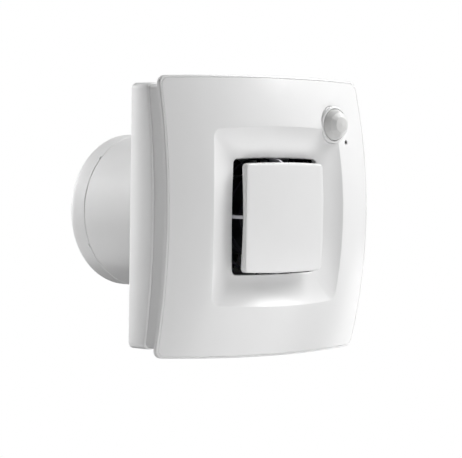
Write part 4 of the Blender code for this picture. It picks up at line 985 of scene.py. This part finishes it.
def make_motor():
    """Motor shells with eased edges, cooling slots, windings, core and bearings."""
    front_low, front_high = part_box("motor_front_shell")
    rear_low, rear_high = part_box("motor_rear_shell")
    radius = rear_high.x
    inner = radius - 0.0012
    seat = 0.0053
    front, split = front_low.y, front_high.y
    profile = [(0, front), (0.0085, front), (0.0090, front + 0.0003), (0.0105, front + 0.0003)]
    profile += [(0.0110, front)] + arc((radius - 0.0015, front + 0.0015), 0.0015, -90, 0, 6)
    profile += [(radius, -0.0065), (radius - 0.0003, -0.0062), (radius - 0.0003, -0.0056)]
    profile += [(radius, -0.0053), (radius, split - 0.0002), (radius - 0.0002, split), (inner, split)]
    profile += [(inner, front + 0.0012), (seat + 0.0015, front + 0.0012), (seat + 0.0015, -0.0148)]
    profile += [(seat, -0.0148), (seat, -0.0181), (0, -0.0181)]
    shell = turned("motor_cap", profile, "motor_grey", 128)
    stand_for(shell, "base", "motor_front_shell")
    start, back = rear_low.y, rear_high.y
    profile = [(radius - 0.0002, start), (radius, start + 0.0002), (radius, back - 0.0015)]
    profile += arc((radius - 0.0015, back - 0.0015), 0.0015, 0, 90, 6)[1:]
    profile += [(0.0110, back), (0.0105, back - 0.0003), (0.0090, back - 0.0003), (0.0085, back)]
    profile += [(0.0026, back), (0.0026, 0.0133), (seat, 0.0133), (seat, 0.0100)]
    profile += [(seat + 0.0015, 0.0100), (seat + 0.0015, back - 0.0012), (inner, back - 0.0012)]
    profile += [(inner, start)]
    shell = turned("motor_can", profile, "motor_grey", 128)
    slots = []
    for turn in range(8):
        slot = block("slot", (0.0140, back - 0.0030, -0.0011), (0.0205, back + 0.0010, 0.0011),
                     "motor_grey", 0.0008)
        slots.append(spun(slot, (turn + 0.5) / 8))
    combine(shell, slots, "DIFFERENCE")
    stand_for(shell, "base", "motor_rear_shell")
    for node, slot in (("front_bearing", "steel"), ("rear_bearing", "steel"),
                       ("stator_core", "laminated_steel"), ("rotor", "laminated_steel")):
        low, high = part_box(node)
        bore = 0.0135 if node == "stator_core" else 0.0023
        profile = eased_band(bore, high.x, low.y, high.y, 0.0002)
        made = turned(f"{node}_turned", profile, slot, 96)
        stand_for(made, "impeller" if node == "rotor" else "base", node)
    for node in ("coil_front", "coil_rear"):
        low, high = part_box(node)
        outside, inside = high.x, 0.0142
        ripple = 14
        profile = []
        for step in range(ripple * 4):
            angle = 2 * math.pi * step / (ripple * 4)
            swell = 1 - 0.04 * (1 + math.cos(ripple * angle))
            profile.append(((outside + inside) / 2 + (outside - inside) / 2 * math.cos(angle) * swell,
                            (low.y + high.y) / 2 + (high.y - low.y) / 2 * math.sin(angle) * swell))
        made = turned(f"{node}_winding", profile, "copper_wire", 96)
        stand_for(made, "base", node)


def make_impeller():
    """Hub and seven twisted blades, with the shaft and its clip."""
    def blade(index):
        spans, chords = 10, 18
        root, tip = 0.0231, BLADE_TIP
        base = 2 * math.pi * index / BLADES

        def centre_line(span, chord):
            radius = root + (tip - root) * span
            angle = base + 0.12 * span + chord * (0.30 + 0.06 * span)
            y = 0.0275 + chord * (0.0084 - 0.0022 * span) - 0.0022 * (1 - chord * chord)
            return Vector((radius * math.cos(angle), y, radius * math.sin(angle)))

        mesh = bmesh.new()
        sides = []
        for side in (-1, 1):
            rows = []
            for i in range(spans + 1):
                row = []
                for j in range(chords + 1):
                    span = i / spans
                    chord = math.sin(math.pi * (j / chords - 0.5))
                    across = centre_line(span, chord + 0.01) - centre_line(span, chord - 0.01)
                    along = centre_line(span + 0.01, chord) - centre_line(span - 0.01, chord)
                    normal = across.cross(along).normalized()
                    taper = math.sqrt(max(1 - chord ** 4, 0)) * 0.75 + 0.12
                    row.append(mesh.verts.new(centre_line(span, chord) + normal * side * 0.0006 * taper))
                rows.append(row)
            sides.append(rows)
        for rows in sides:
            for i in range(spans):
                for j in range(chords):
                    mesh.faces.new((rows[i][j], rows[i + 1][j], rows[i + 1][j + 1], rows[i][j + 1]))
        lower, upper = sides
        for i in range(spans):
            for j in (0, chords):
                mesh.faces.new((lower[i][j], lower[i + 1][j], upper[i + 1][j], upper[i][j]))
        for j in range(chords):
            for i in (0, spans):
                mesh.faces.new((lower[i][j], lower[i][j + 1], upper[i][j + 1], upper[i][j]))
        return finish("blade", mesh, "impeller_black")

    front, back = 0.0170, IMPELLER_HIGH.y
    hub = 0.0240
    bore = 0.0023
    profile = [(hub - 0.0003, front), (hub, front + 0.0003), (hub, back - 0.0020)]
    profile += arc((hub - 0.0020, back - 0.0020), 0.0020, 15, 90, 6)
    profile += [(0.0150, back), (0.0147, back - 0.0004), (0.0120, back - 0.0004), (0.0117, back)]
    profile += [(bore + 0.0002, back), (bore, back - 0.0002), (bore, 0.0205), (0.0052, 0.0205)]
    profile += [(0.0052, back - 0.0018), (hub - 0.0026, back - 0.0018), (hub - 0.0018, back - 0.0030)]
    profile += [(hub - 0.0018, front)]
    wheel = turned("fan_wheel", profile, "impeller_black", 112)
    combine(wheel, [blade(index) for index in range(BLADES)], "UNION")
    stand_for(wheel, "impeller", "impeller")
    low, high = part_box("motor_shaft")
    stand_for(rod("shaft", high.x, low.y, high.y, "steel", 40, ease=0.0004), "impeller", "motor_shaft")
    low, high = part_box("impeller_clip")
    profile = [(bore + 0.0001, low.y), (high.x - 0.0003, low.y), (high.x, low.y + 0.0003)]
    profile += [(high.x - 0.0002, high.y), (bore + 0.0003, high.y), (bore, high.y - 0.0003)]
    clip = turned("shaft_clip", profile, "zinc_steel", 64)
    teeth = []
    for turn in range(6):
        tooth = block("tooth", (0.0029, low.y - 0.001, -0.0003), (0.0048, high.y + 0.001, 0.0003),
                      "zinc_steel", 0.0)
        teeth.append(spun(tooth, turn / 6))
    combine(clip, teeth, "DIFFERENCE")
    stand_for(clip, "impeller", "impeller_clip")


# ---------------------------------------------------------------- screws, board and cable

def cross_screw(node, head_radius, shank_radius, cross=True):
    """Pan-head screw with a cross recess, in the place of a CAD screw."""
    low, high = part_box(node)
    x, z, _ = round_place(node)
    head = min((high.y - low.y) * 0.35, head_radius * 0.75)
    under = low.y + head
    profile = [(0, low.y), (head_radius * 0.45, low.y + head * 0.05)]
    profile += [(head_radius * 0.80, low.y + head * 0.28), (head_radius, low.y + head * 0.62)]
    profile += [(head_radius, under - 0.0001), (head_radius - 0.0001, under), (shank_radius, under)]
    turns = int((high.y - 0.0012 - under) / 0.0008)
    for turn in range(max(turns, 0)):
        y = under + 0.0006 + turn * 0.0008
        profile += [(shank_radius * 0.86, y), (shank_radius, y + 0.0004)]
    profile += [(shank_radius * 0.86, high.y - 0.0008), (shank_radius * 0.3, high.y - 0.0001), (0, high.y)]
    made = turned(f"{node}_cross", profile, "zinc_steel", 32, (x, 0, z))
    reach = head_radius * 0.62
    width = head_radius * 0.13
    bars = [block("bar", (x - reach, low.y - 0.001, z - width), (x + reach, low.y + head * 0.55, z + width),
                  "zinc_steel", 0.0)]
    if cross:
        bars.append(block("bar", (x - width, low.y - 0.001, z - reach),
                          (x + width, low.y + head * 0.55, z + reach), "zinc_steel", 0.0))
    combine(made, bars, "DIFFERENCE")
    stand_for(made, "base", node)


def make_screws():
    """Every screw, at the place of its CAD node."""
    for index in range(1, 5):
        cross_screw(f"carrier_screw_{index}", 0.0032, 0.0015)
    for index in (1, 2):
        cross_screw(f"board_screw_{index}", 0.0028, 0.0015)
        cross_screw(f"clamp_screw_{index}", 0.0027, 0.0015)
    for index in (1, 2, 3):
        cross_screw(f"terminal_screw_{index}", 0.0016, 0.0010, cross=False)


def make_rubber_mounts():
    """Four waisted rubber mounts between the motor and its carrier."""
    inner, outer = SHELL_HIGH.x + GAP, 0.0302
    waist = (inner + outer) / 2
    for index in range(4):
        profile = [(0, inner + 0.0004), (0.0039, inner + 0.0006), (0.0042, inner + 0.0008)]
        profile += [(0.0042, inner + 0.0013), (0.0034, inner + 0.0017), (0.0030, waist)]
        profile += [(0.0034, outer - 0.0014), (0.0042, outer - 0.0010), (0.0042, outer - 0.0002)]
        profile += [(0.0040, outer), (0, outer)]
        mount = turned(f"rubber_mount_{index + 1}_moulded", profile, "rubber_black", 48,
                       (0, -0.0165, 0), "X")
        stand_for(spun(mount, (index + 0.5) / 4), "base", f"rubber_mount_{index + 1}")


def make_board():
    """Capacitor, lamp and knobs of the control board, the grommet and the motor lead."""
    low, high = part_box("supply_capacitor")
    x, z, radius = round_place("supply_capacitor")
    profile = [(0, low.y + 0.0002), (radius * 0.72, low.y + 0.0002), (radius * 0.78, low.y)]
    profile += arc((radius - 0.0005, low.y + 0.0005), 0.0005, -90, 0, 4)
    profile += [(radius, high.y - 0.0022), (radius - 0.0003, high.y - 0.0019)]
    profile += [(radius - 0.0003, high.y - 0.0013), (radius, high.y - 0.0010), (radius, high.y)]
    profile += [(0, high.y)]
    can = turned("capacitor_can", profile, "component_black", 64, (x, 0, z))
    stand_for(can, "base", "supply_capacitor")
    low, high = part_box("indicator_led")
    x, z, radius = round_place("indicator_led")
    profile = [(0, low.y)] + arc((0, low.y + radius * 0.9), radius * 0.9, -80, -10, 7)
    profile += [(radius * 0.9, high.y - 0.0008), (radius, high.y - 0.0007), (radius, high.y), (0, high.y)]
    stand_for(turned("led_lamp", profile, "clear_plastic", 48, (x, 0, z)), "base", "indicator_led")
    for name in ("timer", "humidity"):
        low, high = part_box(f"{name}_knob")
        x, z, radius = round_place(f"{name}_knob")
        teeth = 24
        outline = []
        for step in range(teeth * 4):
            angle = 2 * math.pi * step / (teeth * 4)
            reach = radius - 0.00012 * (1 + math.cos(teeth * angle))
            outline.append((reach * math.cos(angle), -reach * math.sin(angle)))
        knob = prism(f"{name}_dial", outline, low.y, high.y, "knob_grey", 0.0002)
        knob.data.transform(Matrix.Translation((x, 0, z)) @ AXIS_TURNS["Z"].inverted())
        notch = block("slot", (x - 0.0005, low.y - 0.001, z - 0.0040),
                      (x + 0.0005, low.y + 0.0012, z + 0.0002), "knob_grey", 0.0001)
        combine(knob, [notch], "DIFFERENCE")
        stand_for(knob, f"{name}_knob", f"{name}_knob")
    low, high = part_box("cable_grommet")
    x, z, _ = round_place("cable_grommet")
    profile = [(0.0040, low.y), (0.0056, low.y)] + arc((0.0056, low.y + 0.0006), 0.0006, -90, 0, 4)
    profile += [(0.0062, -WALL - GAP), (0.0045, -WALL - GAP), (0.0045, GAP), (0.0056, GAP)]
    profile += [(0.0056, 0.0008), (0.0052, 0.0012), (0.0037, 0.0012), (0.0033, 0.0008)]
    profile += [(0.0033, low.y + 0.0007)]
    stand_for(turned("grommet", profile, "rubber_black", 64, (x, 0, z)), "base", "cable_grommet")
    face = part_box("motor_connector")[0].y - GAP
    route = [(0.0266, -0.0150), (0.0300, -0.0165), (0.0360, -0.0200), (0.0420, -0.0212)]
    route += [(0.0500, -0.0212), (0.0560, -0.0212), (0.0600, -0.0205), (0.0618, -0.0180)]
    route += [(0.0620, face)]
    wires = []
    for side in (-1, 1):
        points = [(x, y, side * 0.00052) for x, y in route]
        wires.append(sweep("wire", points, 0.00056, "cable_black", 16, 6))
    lead = wires[0]
    lead.name = "twin_lead"
    combine(lead, wires[1:], "UNION")
    stand_for(lead, "base", "motor_lead")


def refine(node, slot, width):
    """Eases a CAD node's edges and gives it its material."""
    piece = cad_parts[node]
    piece.data.materials.clear()
    piece.data.materials.append(MATERIALS[slot])
    weld = piece.modifiers.new("weld", "WELD")
    weld.merge_threshold = 0.000005
    bevel = piece.modifiers.new("ease", "BEVEL")
    bevel.width = width
    bevel.segments = 2
    bevel.limit_method = "ANGLE"
    bevel.angle_limit = math.radians(40)
    bevel.harden_normals = True
    bevel.use_clamp_overlap = True


CARRIED_OVER = {
    "motor_carrier": ("guard_black", 0.0003), "control_board": ("board_green", 0.0001),
    "relay": ("component_blue", 0.0003), "film_capacitor": ("component_ochre", 0.0004),
    "humidity_sensor": ("component_black", 0.0001), "motor_connector": ("clamp_white", 0.0002),
    "timer_trimmer": ("component_blue", 0.0002), "humidity_trimmer": ("component_blue", 0.0002),
    "terminal_block": ("component_black", 0.0003), "board_cover": ("board_cover_white", 0.0003),
    "cable_clamp": ("clamp_white", 0.0004),
}


# ---------------------------------------------------------------- camera, light and stage

def direction(around, up):
    """Gives the direction at an angle round from the front and an angle up."""
    return Vector((math.sin(around) * math.cos(up), -math.cos(around) * math.cos(up), math.sin(up)))


# Degrees round from the front, degrees up and degrees of roll, then metres, then millimetres
CAMERA_AROUND, CAMERA_UP, CAMERA_ROLL = -43.26, 2.12, 0.805
CAMERA_DISTANCE = 1.5093
CAMERA_RIGHT, CAMERA_DROP = 0.00293, 0.00938
CAMERA_LENS = 186.36


def make_camera():
    """Camera at the viewing angle of a front three-quarter view from the left."""
    azimuth, elevation, roll = [math.radians(a) for a in (CAMERA_AROUND, CAMERA_UP, CAMERA_ROLL)]
    back = direction(azimuth, elevation)
    right = Vector((math.cos(azimuth), math.sin(azimuth), 0))
    up = back.cross(right)
    rolled_right = right * math.cos(roll) + up * math.sin(roll)
    rolled_up = up * math.cos(roll) - right * math.sin(roll)
    place = Matrix((rolled_right, rolled_up, back)).transposed().to_4x4()
    place.translation = right * CAMERA_RIGHT - up * CAMERA_DROP + back * CAMERA_DISTANCE
    data = bpy.data.cameras.new("camera")
    data.sensor_width = 36
    data.lens = CAMERA_LENS
    data.clip_start = 0.05
    data.clip_end = 60
    camera = bpy.data.objects.new("camera", data)
    camera.matrix_world = place
    bpy.context.scene.collection.objects.link(camera)
    bpy.context.scene.camera = camera


def soft_light(name, around, up, power):
    """Square soft light aimed at the origin from a direction given in degrees."""
    data = bpy.data.lights.new(name, "AREA")
    data.shape = "SQUARE"
    data.size = SOFT_BOX_SIZE
    data.energy = power
    light = bpy.data.objects.new(name, data)
    place = direction(math.radians(around), math.radians(up)) * SOFT_BOX_DISTANCE
    turn = (-place).to_track_quat("-Z", "Y").to_matrix().to_4x4()
    light.matrix_world = Matrix.Translation(place) @ turn
    light.visible_camera = False
    bpy.context.scene.collection.objects.link(light)


def stage_piece(name, mesh):
    """Turns a bmesh into a piece of the stage: plain white, and seen by the camera alone."""
    data = bpy.data.meshes.new(name)
    mesh.to_mesh(data)
    mesh.free()
    white = bpy.data.materials.new(f"{name}_white")
    white.use_nodes = True
    tree = white.node_tree
    tree.nodes.clear()
    shine = tree.nodes.new("ShaderNodeEmission")
    output = tree.nodes.new("ShaderNodeOutputMaterial")
    fill(tree, shine, {"Strength": 1.0})
    fill(tree, output, {"Surface": shine.outputs["Emission"]})
    data.materials.append(white)
    piece = bpy.data.objects.new(name, data)
    piece.visible_diffuse = False
    piece.visible_glossy = False
    piece.visible_transmission = False
    piece.visible_shadow = False
    bpy.context.scene.collection.objects.link(piece)
    return piece


# name, degrees round from the front, degrees up, watts
SOFT_BOXES = (
    ("front_left_light", -35, -25, 6.1),
    ("front_right_light", 35, -25, 4.7),
    ("right_low_light", 95, -25, 3.8),
    ("right_high_light", 65, 45, 17.0),
    ("back_left_low_light", -160, -25, 3.3),
    ("back_left_light", -160, 10, 9.8),
    ("back_left_high_light", -160, 45, 4.0),
)
SOFT_BOX_SIZE = 0.75
SOFT_BOX_DISTANCE = 1.15


def make_stage():
    """Plain white floor and backdrop, soft lights and a faint even surround."""
    mesh = bmesh.new()
    bmesh.ops.create_uvsphere(mesh, u_segments=64, v_segments=32, radius=8)
    backdrop = stage_piece("backdrop", mesh)
    mesh = bmesh.new()
    bmesh.ops.create_grid(mesh, x_segments=1, y_segments=1, size=7.5)
    floor = stage_piece("floor", mesh)
    floor.location.z = -0.28
    world = bpy.data.worlds.new("studio")
    world.use_nodes = True
    fill(world.node_tree, world.node_tree.nodes["Background"], {"Color": (1, 1, 1, 1), "Strength": 0.02})
    bpy.context.scene.world = world
    bpy.context.scene.view_settings.view_transform = "Standard"
    for soft_box in SOFT_BOXES:
        soft_light(*soft_box)


make_camera()
make_stage()
make_body()
make_duct_end()
for flap_node, flap_side in (("damper_flap_left", -1), ("damper_flap_right", 1)):
    make_flap(flap_node, flap_side)
make_spring("damper_spring_left", -1)
make_spring("damper_spring_right", 1)
make_cover()
make_panel()
make_carrier()
make_sensor()
make_guard()
make_inlet()
make_motor()
make_impeller()
make_screws()
make_rubber_mounts()
make_board()
for carried, (carried_slot, carried_ease) in CARRIED_OVER.items():
    refine(carried, carried_slot, carried_ease)
